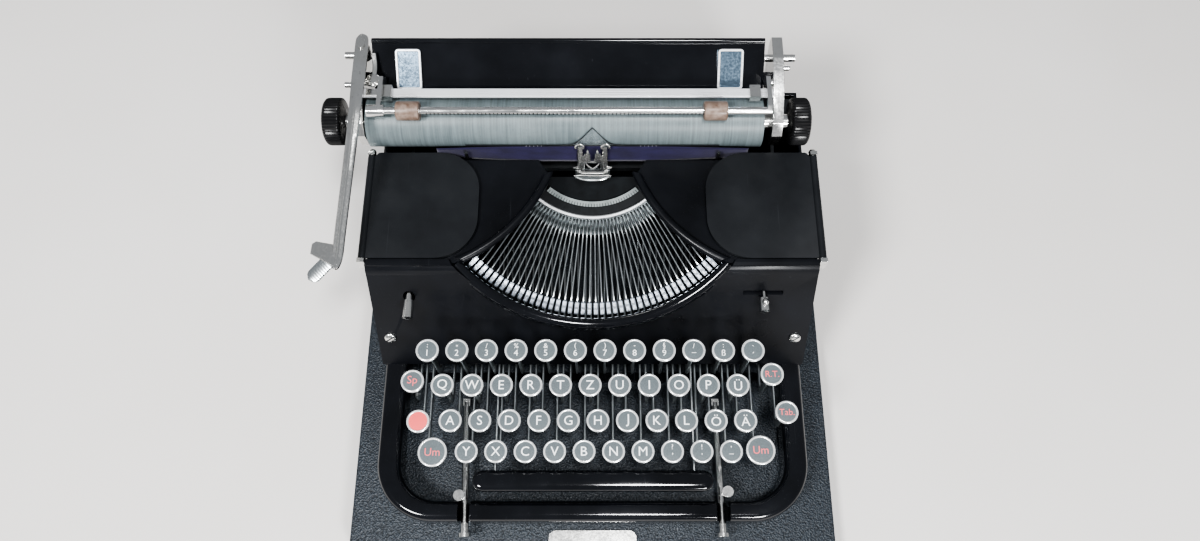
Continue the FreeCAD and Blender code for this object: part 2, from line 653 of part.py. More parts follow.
def make_ribbon():
    """Ink ribbon, the vibrator that lifts it, the type guide fork and the card holder."""
    lean = math.radians(RIBBON_LEAN)
    up = Vector(0, math.sin(lean), math.cos(lean))

    def section(x, foot, rise):
        thick = Vector(0, RIBBON_THICK, 0)
        corners = [foot, foot + rise * RIBBON_WIDTH]
        corners += [corners[1] + thick, corners[0] + thick]
        corners = [c + Vector(x, 0, 0) for c in corners]
        return Part.makePolygon(corners + corners[:1])

    end_foot = Vector(0, RIBBON_END_Y - RIBBON_THICK, RIBBON_END_Z)
    mid_foot = RIBBON_FOOT
    rows = [
        (-RIBBON_END_X, end_foot, Vector(0, 0, 1)), (-RIBBON_MID_X, mid_foot, up),
        (RIBBON_MID_X, mid_foot, up), (RIBBON_END_X, end_foot, Vector(0, 0, 1)),
    ]
    wires = [section(*row) for row in rows]
    pieces = [Part.makeLoft([a, b], True, True) for a, b in zip(wires, wires[1:])]
    keep("ribbon", fuse(pieces))

    arms = [(-9.6, 15.5), (-9.6, -10), (9.6, -10), (9.6, 15.5), (7.0, 15.5), (7.0, -7), (-7.0, -7), (-7.0, 15.5)]
    keep("ribbon_vibrator", lean_plate(arms, VIBRATOR_OFFSET, 1.0))

    fork = [
        (-8, -15), (8, -15), (8, -12), (4.8, -12), (4.8, 11.5), (2.6, 11.5), (2.6, -12),
        (-2.6, -12), (-2.6, 11.5), (-4.8, 11.5), (-4.8, -12), (-8, -12),
    ]
    prongs = lean_plate(fork, FORK_OFFSET, 1.0)
    foot = box((-8, 8), (76.5, 86.8), (RIBBON_BAR_Z, RIBBON_BAR_Z + 2.5))
    keep("type_guide", fuse([prongs, foot]))

    axis = Vector(0, AXIS_Y, AXIS_Z)
    inner, outer = CARD_RADIUS, CARD_RADIUS + CARD_THICK
    face = Part.Face(Part.makePolygon([
        axis + Vector(0, -r, 0) + Vector(x, 0, 0)
        for x, r in ((-CARD_HALF, inner), (CARD_HALF, inner), (CARD_HALF, outer), (-CARD_HALF, outer), (-CARD_HALF, inner))
    ]))
    strip = face.revolve(axis, Vector(1, 0, 0), 24)
    peak = face.revolve(axis, Vector(-1, 0, 0), PEAK_ANGLE)
    top = AXIS_Z + outer * math.sin(math.radians(PEAK_ANGLE))
    wedge = [Vector(-PEAK_HALF, AXIS_Y - 30, AXIS_Z), Vector(PEAK_HALF, AXIS_Y - 30, AXIS_Z)]
    wedge.append(Vector(0, AXIS_Y - 30, top))
    wedge = Part.Face(Part.makePolygon(wedge + wedge[:1])).extrude(Vector(0, 30, 0))
    window = box((-3.2, 3.2), (AXIS_Y - 30, AXIS_Y), (AXIS_Z - 20, AXIS_Z + 5))
    keep("card_scale", cut(fuse([Part.Solid(strip.Shells[0]), peak.common(wedge)]), [window]))


# ---- keys ---------------------------------------------------------------------------------
def lever_hub(x, thick):
    """Boss of a lever round the key lever shaft."""
    return Part.makeCylinder(LEVER_HUB, thick, Vector(x - thick / 2, SHAFT_Y, LEVER_Z), Vector(1, 0, 0))


def shaft_bore():
    """Running bore for the key lever shaft."""
    start = Vector(-PLATE_OUTER, SHAFT_Y, LEVER_Z)
    return rod(start, start + Vector(2 * PLATE_OUTER, 0, 0), SHAFT_RADIUS + RUN)


def key(cap_x, cap_y, cap_z, lever_x, cap_radius):
    """Cap, stem, sideways jog where the lever stands aside, and lever."""
    half = LEVER_THICK / 2
    low = LEVER_Z - LEVER_TALL / 2
    cap = Part.makeCylinder(cap_radius, CAP_THICK, Vector(cap_x, cap_y, cap_z - CAP_THICK))
    depth = (cap_y - STEM_DEEP / 2, cap_y + STEM_DEEP / 2)
    lever = box((lever_x - half, lever_x + half), (depth[0], SHAFT_Y), (low, low + LEVER_TALL))
    pieces = [cap, lever, lever_hub(lever_x, LEVER_THICK)]
    if cap_x == lever_x:
        pieces.append(box((cap_x - half, cap_x + half), depth, (low, cap_z - CAP_THICK / 2)))
    else:
        near, far = sorted((cap_x, lever_x))
        jog = (JOG_Z - JOG_TALL / 2, JOG_Z + JOG_TALL / 2)
        pieces.append(box((near - half, far + half), depth, jog))
        pieces.append(box((cap_x - half, cap_x + half), depth, (jog[0], cap_z - CAP_THICK / 2)))
        pieces.append(box((lever_x - half, lever_x + half), depth, (low, jog[1])))
    return cut(fuse(pieces), [shaft_bore()])


def row_keys(row):
    """Every key of a row, from left to right."""
    first, y, z, count = ROWS[row]
    places = [first + i * KEY_PITCH for i in range(count)]
    return [key(x, y, z, x, CAP_RADIUS) for x in places]


def make_keys():
    """The four rows, the separately driven H key, the function keys and the space bar."""
    for row in ROWS:
        keys = row_keys(row)
        if row == H_ROW:
            keep("key_h", keys.pop(H_INDEX))
        keep(row, Part.makeCompound(keys))
    for name, places in FUNCTION_KEYS.items():
        keep(name, key(*places))

    front, back = SPACE_Y - SPACE_DEEP / 2, SPACE_Y + SPACE_DEEP / 2
    corners = (SPACE_DEEP / 2 - SPACE_END_FLAT,) * 4
    bar = slab((SPACE_LEFT, SPACE_RIGHT), (front, back), (SPACE_TOP - SPACE_TALL, SPACE_TOP), corners)
    top = [e for e in bar.Edges if e.BoundBox.ZMin > SPACE_TOP - 0.1]
    pieces = [bar.makeFillet(2.5, top)]
    low = LEVER_Z - LEVER_TALL / 2
    for x in SPACE_ARMS:
        wide = (x - SPACE_ARM_THICK / 2, x + SPACE_ARM_THICK / 2)
        pieces.append(box(wide, (SPACE_Y - 2, SHAFT_Y), (low, low + LEVER_TALL)))
        pieces.append(box(wide, (SPACE_Y - 2, SPACE_Y + 2), (low, SPACE_TOP - 3)))
        pieces.append(lever_hub(x, SPACE_ARM_THICK))
    keep("spacebar", cut(fuse(pieces), [shaft_bore()]))

    start = Vector(-PLATE_INNER, SHAFT_Y, LEVER_Z)
    keep("key_lever_shaft", rod(start, start + Vector(2 * PLATE_INNER, 0, 0), SHAFT_RADIUS))


def lever_places():
    """X and thickness of every lever on the shaft."""
    places = [(first + i * KEY_PITCH, LEVER_THICK) for first, _, _, n in ROWS.values() for i in range(n)]
    places += [(values[3], LEVER_THICK) for values in FUNCTION_KEYS.values()]
    return places + [(x, SPACE_ARM_THICK) for x in SPACE_ARMS]


# ---- inner frame ------------------------------------------------------------------------------
def make_inner_frame():
    """Side plates, cross ties, lever comb, spool shelves with spindles, and the segment's seat."""
    span = (-PLATE_INNER, PLATE_INNER)
    side = [(PLATE_FRONT_Y, RAIL_Z0), (PLATE_FRONT_Y, 45), (0, PLATE_TOP), (TOWER_Y, PLATE_TOP)]
    side += [(TOWER_Y, TOWER_TOP), (92, TOWER_TOP), (100, PLATE_TOP), (PLATE_BACK_Y - 14, PLATE_TOP)]
    side += [(PLATE_BACK_Y - 14, RAIL_Z0)]
    pieces = [prism(side, "X", -PLATE_OUTER, -PLATE_INNER), prism(side, "X", PLATE_INNER, PLATE_OUTER)]
    comb = box(span, (COMB_Y, COMB_Y + COMB_THICK), (RAIL_Z0 - 3, 46))
    windows = []
    for x, thick in lever_places():
        half = thick / 2 + COMB_SIDE
        windows.append(box((x - half, x + half), (COMB_Y - 1, COMB_Y + COMB_THICK + 1), (19.5, 38)))
    pieces.append(cut(comb, windows))
    pieces.append(box(span, (62, 74), (42, 50)))
    seat = box((-34, 34), (62, 74), (48, BODY_TOP - 22))
    above = in_basket(box((-90, 90), (-140, 90), (-8, 140)))
    pieces.append(cut(seat, [above]))
    pieces.append(box(span, (86.8, 91.2), (RIBBON_BAR_Z, RIBBON_BAR_Z + 4.5)))
    for side_sign in (-1, 1):
        shelf_x = sorted((side_sign * SHELF_INNER, side_sign * PLATE_INNER))
        pieces.append(box(shelf_x, (24, 82), (SHELF_Z, SHELF_Z + SHELF_THICK)))
        foot = Vector(side_sign * SPOOL_X, SPOOL_Y, SHELF_Z)
        pieces.append(Part.makeCylinder(SPINDLE_RADIUS, SPOOL_Z + SPOOL_TALL + 4 - SHELF_Z, foot))
        pieces.append(Part.makeCylinder(SPINDLE_RADIUS + 3, SPOOL_Z - GAP - SHELF_Z, foot))
        post = Vector(side_sign * GUIDE_POST_X, 87.7, RIBBON_BAR_Z)
        pieces.append(Part.makeCylinder(1.1, 24, post))
    keep("inner_frame", fuse(pieces))

    for name, x in (("left_ribbon_spool", -SPOOL_X), ("right_ribbon_spool", SPOOL_X)):
        foot = Vector(x, SPOOL_Y, SPOOL_Z)
        low_disc = Part.makeCylinder(SPOOL_RADIUS, 1, foot)
        high_disc = Part.makeCylinder(SPOOL_RADIUS, 1, foot + Vector(0, 0, SPOOL_TALL - 1))
        core = Part.makeCylinder(SPOOL_RADIUS - 6, SPOOL_TALL, foot)
        spool = fuse([low_disc, high_disc, core])
        bore = Part.makeCylinder(SPINDLE_RADIUS + RUN, SPOOL_TALL, foot)
        keys = [Part.makeCylinder(2, SPOOL_TALL, foot + Vector(dx, 0, 0)) for dx in (-9, 9)]
        keep(name, cut(spool, [bore] + keys))

    centre = Vector(DRUM_PLACE[0], DRUM_Y + 1, DRUM_PLACE[1])
    drum = Part.makeCylinder(DRUM_RADIUS, DRUM_WIDE, centre, Vector(0, 1, 0))
    stud_hole = Part.makeCylinder(DRUM_STUD + RUN, DRUM_WIDE, centre, Vector(0, 1, 0))
    keep("spring_drum", cut(drum, [stud_hole]))
    keep("carriage_rail", box((-WALL_INNER, WALL_INNER), RAIL_Y, RAIL_Z))


# ---- front pins ----------------------------------------------------------------------------------
def make_front_pins():
    """Ribbon colour pin in its slot and the touch control pin."""
    base = Vector(COLOUR_PIN_X, -14, COLOUR_PIN_Z)
    stem = Part.makeCylinder(1.2, 19.5, base, Vector(0, 1, 0))
    head = Part.makeCylinder(3.4, 9, base + Vector(0, -1, -1), Vector(0, 1, 0))
    half = COLOUR_SLIDE / 2
    slide = box((base.x - half, base.x + half), (4.2, 5.6), (base.z - 3.8, base.z + 4.2))
    ball = Part.makeSphere(2.2, base + Vector(0, 4, 4.0))
    keep("ribbon_colour_pin", fuse([stem, head, ball, slide]))
    tip = Vector(TOUCH_PIN_X, -19, TOUCH_PIN_Z)
    keep("touch_control_pin", fuse([
        Part.makeCylinder(TOUCH_PIN_RADIUS, 12, tip, Vector(0, 1, 0)),
        Part.makeCylinder(2.4, 26, tip, Vector(0, 1, 0)),
    ]))


# ---- carriage ---------------------------------------------------------------------------------------
def end_plate(x_ends, back_pins):
    """Polished end casting with the platen bearing and the bail bearing."""
    top = END_TOP
    shape = [
        (AXIS_Y - 12, AXIS_Z - 10), (AXIS_Y - 13, AXIS_Z + 3), (AXIS_Y - 8, AXIS_Z + 11),
        (118, top - 7), (140, top), (156, top), (158, top - 6), (150, AXIS_Z - 2), (BEAM_Y[1], BEAM_Z[1]),
        (BEAM_Y[1], BEAM_Z[0] + 2), (BEAM_Y[0], BEAM_Z[0] + 2), (AXIS_Y, AXIS_Z - 16),
    ]
    plate = prism(shape, "X", *x_ends)
    holes = []
    for (y, z), radius in (((AXIS_Y, AXIS_Z), SHAFT_R), (BAIL_PIVOT, BAIL_PIN), *back_pins):
        start = Vector(x_ends[0] - 1, y, z)
        holes.append(Part.makeCylinder(radius + RUN, x_ends[1] - x_ends[0] + 2, start, Vector(1, 0, 0)))
    return cut(plate, holes)


def make_carriage():
    """Beam, end castings, platen group and the fixed bars between the ends."""
    left = end_plate(END_LEFT, [(RELEASE_LEFT, RELEASE_RADIUS)])
    right = end_plate(END_RIGHT, [(RELEASE_RIGHT, RELEASE_RADIUS)])
    seat_low, seat_top = END_TOP - 6.5, LEVER_PIVOT.z - RETURN_THICK / 2 - GAP
    foot = Vector(LEVER_PIVOT.x, LEVER_PIVOT.y, seat_low)
    seat = Part.makeCylinder(2 * PIVOT_STUD, seat_top - seat_low, foot)
    bracket = box(END_LEFT, (foot.y - 4, foot.y + 4), (seat_low, seat_low + SHEET))
    stud = Part.makeCylinder(PIVOT_STUD, LEVER_PIVOT.z + RETURN_THICK - seat_low, foot)
    way_start = Vector(END_LEFT[0] - RELEASE_OUT, *RELEASE_LEFT)
    release_way = Part.makeCylinder(RELEASE_RADIUS + GAP, 2 * RELEASE_LONG, way_start, Vector(1, 0, 0))
    post = cut(fuse([seat, bracket, stud]), [release_way])
    keep("carriage_end_left", fuse([left, post]))
    keep("carriage_end_right", right)
    keep("carriage_beam", box((END_LEFT[1], END_RIGHT[0]), BEAM_Y, BEAM_Z))

    axis = Vector(1, 0, 0)
    tube = Part.makeCylinder(PLATEN_RADIUS, PLATEN_LENGTH, Vector(PLATEN_LEFT, AXIS_Y, AXIS_Z), axis)
    shaft = Part.makeCylinder(SHAFT_R, SHAFT_RIGHT - SHAFT_LEFT, Vector(SHAFT_LEFT, AXIS_Y, AXIS_Z), axis)
    keep("platen", cut(tube, [shaft]))
    keep("platen_shaft", shaft)
    knobs = []
    for x in (SHAFT_LEFT - 0.6, SHAFT_RIGHT + 0.6 - KNOB_WIDE):
        knob = Part.makeCylinder(KNOB_RADIUS, KNOB_WIDE, Vector(x, AXIS_Y, AXIS_Z), axis)
        knob = knob.makeFillet(1.5, [e for e in knob.Edges if e.BoundBox.XLength < 0.01])
        knobs.append(cut(knob, [shaft]))
    keep("platen_knobs", Part.makeCompound(knobs))

    for name, x, way, where in (
        ("carriage_release_left", END_LEFT[0] - RELEASE_OUT, 1, RELEASE_LEFT),
        ("carriage_release_right", END_RIGHT[1] + RELEASE_OUT, -1, RELEASE_RIGHT),
    ):
        start = Vector(x, *where)
        keep(name, Part.makeCylinder(RELEASE_RADIUS, RELEASE_LONG, start, Vector(way, 0, 0)))

    margin = box((END_LEFT[1], END_RIGHT[0]), MARGIN_Y, MARGIN_Z)
    keep("margin_bar", margin)
    for name, x in (("margin_stop_left", -137.0), ("margin_stop_right", 102.0)):
        wide = (x, x + STOP_WIDE)
        block = box(wide, (MARGIN_Y[0] - 1.5, MARGIN_Y[1] + 1.5), (MARGIN_Z[0] - 1.8, MARGIN_Z[1] + 2.1))
        way = box(wide, (MARGIN_Y[0] - 0.3, MARGIN_Y[1] + 0.3), (MARGIN_Z[0] - 0.3, MARGIN_Z[1] + 0.3))
        keep(name, cut(block, [way]))


def table_profile(offset, thick, foot_add, head_add):
    """Section of a plate parallel to the paper table: offset above it, lengthened at foot and head."""
    (y0, z0), (y1, z1) = TABLE_FOOT, TABLE_HEAD
    length = math.hypot(y1 - y0, z1 - z0)
    ay, az = (y1 - y0) / length, (z1 - z0) / length
    ny, nz = -az, ay
    low = (y0 - ay * foot_add + ny * offset, z0 - az * foot_add + nz * offset)
    high = (y1 + ay * head_add + ny * offset, z1 + az * head_add + nz * offset)
    return [low, high, (high[0] + ny * thick, high[1] + nz * thick), (low[0] + ny * thick, low[1] + nz * thick)]


def make_paper_parts():
    """Paper table, its two sliding guides, the bail and its rollers, and the return lever."""
    table = prism(table_profile(0, TABLE_THICK, 0, 0), "X", TABLE_LEFT, TABLE_RIGHT)
    head = table_profile(TABLE_THICK / 2, 0.1, 0, 0)[1]
    rolled = rod(Vector(TABLE_LEFT, *head), Vector(TABLE_RIGHT, *head), TABLE_RIM)
    ends = []
    for x_ends in ((END_LEFT[1], TABLE_LEFT + 1), (TABLE_RIGHT - 1, END_RIGHT[0])):
        ends.append(prism(table_profile(-TABLE_FOLD, TABLE_FOLD, -2, -TABLE_FOLD_DROP), "X", *x_ends))
    keep("paper_table", fuse([table, rolled] + ends))

    for name, x in (("paper_guide_left", GUIDE_LEFT_X), ("paper_guide_right", GUIDE_RIGHT_X)):
        wide = (x, x + GUIDE_WIDE)
        under = GUIDE_GAP + GUIDE_THICK
        whole = TABLE_THICK + 2 * under
        face = prism(table_profile(TABLE_THICK + GUIDE_GAP, GUIDE_THICK, 2 * under, -GUIDE_DROP), "X", *wide)
        toe = table_profile(-under, whole, 2 * under, 0)
        root = table_profile(-under, whole, under / 2, 0)
        hook = prism([toe[0], root[0], root[3], toe[3]], "X", *wide)
        back = prism(table_profile(-under, GUIDE_THICK, 2 * under, -TABLE_FOLD_DROP), "X", *wide)
        keep(name, fuse([face, hook, back]))

    gap = PLATEN_RADIUS + ROLLER_RADIUS + 0.4
    bail_z = AXIS_Z + math.sqrt(gap ** 2 - (AXIS_Y - BAIL_Y) ** 2)
    axis = Vector(1, 0, 0)
    end = Vector(BAIL_LEFT, BAIL_Y, bail_z)
    pieces = [Part.makeCylinder(BAIL_ROD, BAIL_RIGHT - BAIL_LEFT, end, axis)]
    pieces.append(Part.makeCylinder(BAIL_SLEEVE, BAIL_SLEEVE_LONG, end, axis))
    py, pz = BAIL_PIVOT
    for x, pin_start, pin_end in (
        (BAIL_ARM_LEFT, END_LEFT[1] - 4, BAIL_ARM_LEFT + BAIL_ARM),
        (BAIL_RIGHT - BAIL_ARM, BAIL_RIGHT - BAIL_ARM, END_RIGHT[0] + 4),
    ):
        arm = [
            (BAIL_Y - 2.4, bail_z), (BAIL_Y + 1, BAIL_ARM_TOP), (py, BAIL_ARM_TOP), (py + 3.4, pz),
            (py - 3.4, pz), (py - 3.8, BAIL_ARM_LOW), (BAIL_Y + 4.5, BAIL_ARM_LOW), (BAIL_Y + 2.4, bail_z - 1),
        ]
        pieces.append(prism(arm, "X", x, x + BAIL_ARM))
        pieces.append(Part.makeCylinder(3.4, BAIL_ARM, Vector(x, py, pz), axis))
        pieces.append(Part.makeCylinder(BAIL_PIN, pin_end - pin_start, Vector(pin_start, py, pz), axis))
    keep("paper_bail", fuse(pieces))
    for name, x in (("bail_roller_left", ROLLER_LEFT_X), ("bail_roller_right", ROLLER_RIGHT_X)):
        roller = Part.makeCylinder(ROLLER_RADIUS, ROLLER_WIDE, Vector(x, BAIL_Y, bail_z), axis)
        bore = Part.makeCylinder(BAIL_ROD + RUN, ROLLER_WIDE, Vector(x, BAIL_Y, bail_z), axis)
        keep(name, cut(roller, [bore]))
    make_return_lever()


def make_return_lever():
    """Long flat lever from its pivot down to the thumb pad."""
    half_thick = Vector(0, 0, RETURN_THICK / 2)
    wires = []
    for y, x, z, half in RETURN_PATH:
        low = [Vector(x - half, y, z) - half_thick, Vector(x + half, y, z) - half_thick]
        high = [corner + 2 * half_thick for corner in reversed(low)]
        wires.append(Part.makePolygon(low + high + low[:1]))
    pieces = [Part.makeLoft(wires, True, True)]
    web = [(-174, 16.5), (-171.5, 17.9), (-160.5, 16), (-153.5, 12), (-154.7, 4.5), (-158.1, 0.2), (-173.2, 8.1)]
    thumb = [(-173, 8.2), (-158.4, 0.4), (-166.3, -2.4), (-172.8, -7.2), (-176.4, -6.4), (-177, -1.7)]
    web_low = RETURN_PATH[-1][2] - RETURN_THICK / 2
    pieces.append(prism(web, "Z", web_low, web_low + RETURN_THICK))
    pieces.append(prism(thumb, "Z", web_low - 2 * RETURN_THICK, web_low + RETURN_THICK / 2))
    bore_foot = LEVER_PIVOT - Vector(0, 0, RETURN_THICK)
    bore = Part.makeCylinder(PIVOT_STUD + RUN, 2 * RETURN_THICK, bore_foot)
    keep("return_lever", cut(fuse(pieces), [bore]))


# ---- build ----------------------------------------------------------------------------------------------
def main():
    """Build every sub-part and write one file for each."""
    os.makedirs("parts", exist_ok=True)
    make_board()
    make_frame()
    make_body()
    make_cowl()
    make_covers()
    make_basket()
    make_ribbon()
    make_keys()
    make_inner_frame()
    make_front_pins()
    make_carriage()
    make_paper_parts()
    for name, shape in PARTS.items():
        shape.exportStep("parts/" + name + ".step")
        print(name, len(shape.Solids), shape.isValid(), round(shape.Volume))
    print(len(PARTS), "nodes")


main()
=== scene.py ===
import json
import math

import bmesh
import bpy
import numpy as np
from bpy.props import FloatProperty, FloatVectorProperty, IntProperty, PointerProperty
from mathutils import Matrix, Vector

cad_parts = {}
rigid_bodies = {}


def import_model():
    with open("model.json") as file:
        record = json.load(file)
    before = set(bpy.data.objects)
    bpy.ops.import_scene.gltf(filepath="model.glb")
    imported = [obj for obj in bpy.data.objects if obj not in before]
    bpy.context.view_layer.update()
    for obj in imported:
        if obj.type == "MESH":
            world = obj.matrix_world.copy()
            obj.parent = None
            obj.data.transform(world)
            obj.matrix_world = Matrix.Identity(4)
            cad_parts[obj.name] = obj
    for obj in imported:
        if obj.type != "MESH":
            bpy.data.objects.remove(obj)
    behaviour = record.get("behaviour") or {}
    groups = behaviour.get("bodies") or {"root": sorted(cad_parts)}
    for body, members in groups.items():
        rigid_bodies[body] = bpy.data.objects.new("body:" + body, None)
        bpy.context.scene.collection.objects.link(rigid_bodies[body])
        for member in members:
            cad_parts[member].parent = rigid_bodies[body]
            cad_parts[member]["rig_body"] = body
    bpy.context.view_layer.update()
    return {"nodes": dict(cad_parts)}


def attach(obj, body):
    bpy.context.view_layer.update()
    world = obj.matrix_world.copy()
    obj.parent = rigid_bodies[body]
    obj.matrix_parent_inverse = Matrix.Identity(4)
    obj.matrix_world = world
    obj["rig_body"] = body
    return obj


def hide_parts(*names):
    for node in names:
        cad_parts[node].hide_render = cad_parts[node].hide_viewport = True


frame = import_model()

bl_info = {
    "name": "Portable typewriter",
    "version": (1, 0, 0),
    "blender": (4, 5, 0),
    "location": "3D View > Sidebar > Typewriter",
    "description": "Builds the visible pieces and finishes of a portable typewriter round its packed frame",
    "category": "Add Mesh",
}

MM = 0.001
NODES = frame["nodes"]

# ---- places, in millimetres ---------------------------------------------------------------
KEY_PITCH = 19.05
LEVER_Z = 33.0
SHAFT_Y = 95.0
# first X, Y, top Z, and what each cap says, a pair being a small sign over a large one
ROWS = {
    "key_row_numbers": (-106.10, -39.7, 88.0, [
        (":", "1"), ('"', "2"), ("/", "3"), ("%", "4"), ("&", "5"), ("(", "6"), (")", "7"), ("-", "8"),
        ("§", "9"), ("/", "_"), (":", "ß"), ("`", "´"),
    ]),
    "key_row_upper": (-96.60, -60.3, 79.0, list("QWERTZUIOP") + ["Ü"]),
    "key_row_home": (-91.60, -81.4, 70.0, list("ASDFGHJKL") + ["Ö", "Ä"]),
    "key_row_lower": (-81.50, -99.6, 61.0, list("YXCVBNM") + [("?", ","), ("!", "."), ("'", "_")]),
}
H_PLACE = 5
# cap X, Y, top Z, lever X, legend
FUNCTION_KEYS = {
    "margin_release_key": (-115.4, -58.5, 82.0, -119.4, "Sp"),
    "shift_lock_key": (-111.9, -82.3, 72.0, -115.5, ""),
    "shift_key_left": (-103.4, -100.1, 61.0, -111.0, "Um"),
    "shift_key_right": (109.0, -98.8, 61.0, 109.0, "Um"),
    "backspace_key": (115.8, -53.9, 82.0, 115.8, "R.T."),
    "tab_key": (125.0, -76.9, 74.0, 125.0, "Tab."),
}
BAR_COUNT = 44
BAR_ANGLE = 2.326
H_BAR = 22
TILT = math.radians(45.0)
PRINT_Y, PRINT_Z = 91.5, 122.0
BASKET_DROP = 16.2
BASKET = np.array([0.0, PRINT_Y + BASKET_DROP * math.sin(TILT), PRINT_Z - BASKET_DROP * math.cos(TILT)])
PIVOT_RADIUS = 62.0
BAR_LENGTH = 64.1
BAR_RISE = math.radians(45.8)
AXIS = np.array([0.0, 108.5, 122.0])
PLATEN_RADIUS = 16.5
BAIL_Y = 103.0
ROLLER_RADIUS, ROLLER_WIDE, ROLLER_GAP = 6.2, 15.0, 0.4
ROLLERS = {"left": -125.8, "right": 71.7}
KNOB_FACES = {-1: -178.1, 1: 144.1}
KNOB_DEEP = 14.6
# the ribbon's leaning plane: the middle of its foot, and how far it leans back
RIBBON_FOOT = (0.0, 86.0, 108.3)
RIBBON_LEAN = math.radians(20.0)
RIBBON_WIDE = 13.0
LEAN_UP = np.array([0, math.sin(RIBBON_LEAN), math.cos(RIBBON_LEAN)])
LEAN_OUT = np.array([0, -math.cos(RIBBON_LEAN), math.sin(RIBBON_LEAN)])
# the slope of the front cowl: Y at a height, and how far back it goes for each millimetre up
COWL_Y, COWL_Z, COWL_SLOPE = -35.5, 39.0, 0.615
SCREW_X, SCREW_Z = 137.0, 60.0
# the type guide's trough: half its width, and its upper edge on the leaning plane
TROUGH_HALF, TROUGH_EDGE = 12.6, -8.6
# the paper guides: foot and head of the paper table in Y and Z, and each guide's left edge
TABLE_FOOT, TABLE_HEAD = (128.0, 132.0), (152.0, 151.0)
GUIDES = {"left": -129.0, "right": 82.5}
# the space bar: its ends in X, its middle in Y, its top in Z, and the X of its two arms
SPACE_ENDS, SPACE_Y, SPACE_TOP = (-78.0, 79.0), -116.7, 52.0
SPACE_ARMS = (-65.2, 68.1)


# ---- surfaces ---------------------------------------------------------------------------------
def grid(points, wrap=(False, False), slot=0, uv=None):
    """Grid of points, or a stack of equal ones: each is joined to its neighbours, and round where wrapped."""
    p = np.asarray(points, float)
    p = p[None] if p.ndim == 3 else p
    count, nu, nv, _ = p.shape
    i = np.arange(nu if wrap[0] else nu - 1)
    j = np.arange(nv if wrap[1] else nv - 1)
    i, j = np.meshgrid(i, j, indexing="ij")
    here, beyond = i * nv, (i + 1) % nu * nv
    quad = np.stack([here + j, beyond + j, beyond + (j + 1) % nv, here + (j + 1) % nv], -1)
    faces = quad.reshape(1, -1, 4) + np.arange(count)[:, None, None] * nu * nv
    if uv is None:
        uv = np.zeros((count, nu, nv, 2))
    return {
        "v": p.reshape(-1, 3), "f": faces.reshape(-1, 4), "slot": slot,
        "uv": np.asarray(uv, float).reshape(-1, 2),
    }


def unit(v):
    """Vectors scaled to length one along the last side of the array."""
    v = np.asarray(v, float)
    return v / np.linalg.norm(v, axis=-1, keepdims=True)


def square_to(axis):
    """Two unit vectors square to an axis and to each other."""
    a = unit(axis)
    other = np.array([0.0, 0.0, 1.0]) if abs(a[2]) < 0.9 else np.array([1.0, 0.0, 0.0])
    s = unit(np.cross(a, other))
    return a, s, np.cross(a, s)


def turned(profile, centre=(0, 0, 0), axis=(0, 0, 1), sides=32, slot=0, flute=(0, 0.0)):
    """Lathe shape: each (height, radius) goes once round the axis; flute = (ribs, depth) waves the radius."""
    h, r = np.asarray(profile, float).T
    t = np.linspace(0, 2 * np.pi, sides, endpoint=False)
    a, s, u = square_to(axis)
    ring = np.cos(t)[:, None] * s + np.sin(t)[:, None] * u
    wave = 1 + flute[1] * np.cos(flute[0] * t) if flute[0] else np.ones_like(t)
    reach = r[:, None] * np.where(r[:, None] > 0.8 * r.max(), wave, 1.0)
    p = np.asarray(centre, float)[..., None, None, :] + h[:, None, None] * a + reach[..., None] * ring
    return grid(p, (False, True), slot)


def carried(path, profile, up=(0, 0, 1), size=None, slot=0, closed=False):
    """Outline carried along a path: set square to the path at each point, its second axis nearest up."""
    path = np.asarray(path, float)
    path = path[None] if path.ndim == 2 else path
    profile = np.asarray(profile, float)
    if closed:
        ahead = np.roll(path, -1, 1) - np.roll(path, 1, 1)
    else:
        ahead = np.gradient(path, axis=1)
    t = unit(ahead)
    side = unit(np.cross(t, np.asarray(up, float)))
    rise = np.cross(side, t)
    shape = profile[None, None]
    if size is not None:
        size = np.asarray(size, float)
        shape = shape * (size[None, :, None, None] if size.ndim == 1 else size[None, :, None, :])
    p = path[:, :, None] + side[:, :, None] * shape[..., :1] + rise[:, :, None] * shape[..., 1:2]
    if not closed:
        ends = [np.repeat(p[:, k:k + 1].mean(2, keepdims=True), p.shape[2], 2) for k in (0, p.shape[1] - 1)]
        p = np.concatenate([ends[0], p, ends[1]], 1)
    return grid(p, (closed, True), slot)


def rounded(wide, tall, radius, steps=2):
    """Outline of a rectangle with round corners, about its centre."""
    turn = np.linspace(0, np.pi / 2, steps + 1)
    quarter = [turn + k * np.pi / 2 for k in range(4)]
    corner = np.array([(1, 1), (-1, 1), (-1, -1), (1, -1)]) * (wide / 2 - radius, tall / 2 - radius)
    return np.concatenate([
        c + radius * np.stack([np.cos(q), np.sin(q)], -1) for c, q in zip(corner, quarter)
    ])


def smooth_path(points, steps=8):
    """Catmull-Rom curve: each run is the cubic whose end slopes are half the step between its neighbours."""
    p = np.asarray(points, float)
    ext = np.concatenate([2 * p[:1] - p[1:2], p, 2 * p[-1:] - p[-2:-1]])
    a, b, c, d = ext[:-3, None], ext[1:-2, None], ext[2:-1, None], ext[3:, None]
    t = np.linspace(0, 1, steps, endpoint=False)[None, :, None]
    q = 0.5 * (2 * b + (c - a) * t + (2 * a - 5 * b + 4 * c - d) * t ** 2 + (3 * b - a - 3 * c + d) * t ** 3)
    return np.concatenate([q.reshape(-1, p.shape[1]), p[-1:]])


def into_basket(shape):
    """Turn a shape from the type basket's own frame through the tilt and move it to the basket's centre."""
    v = shape["v"]
    c, s = math.cos(TILT), math.sin(TILT)
    shape["v"] = np.stack([v[:, 0], v[:, 1] * c - v[:, 2] * s, v[:, 1] * s + v[:, 2] * c], -1) + BASKET
    return shape


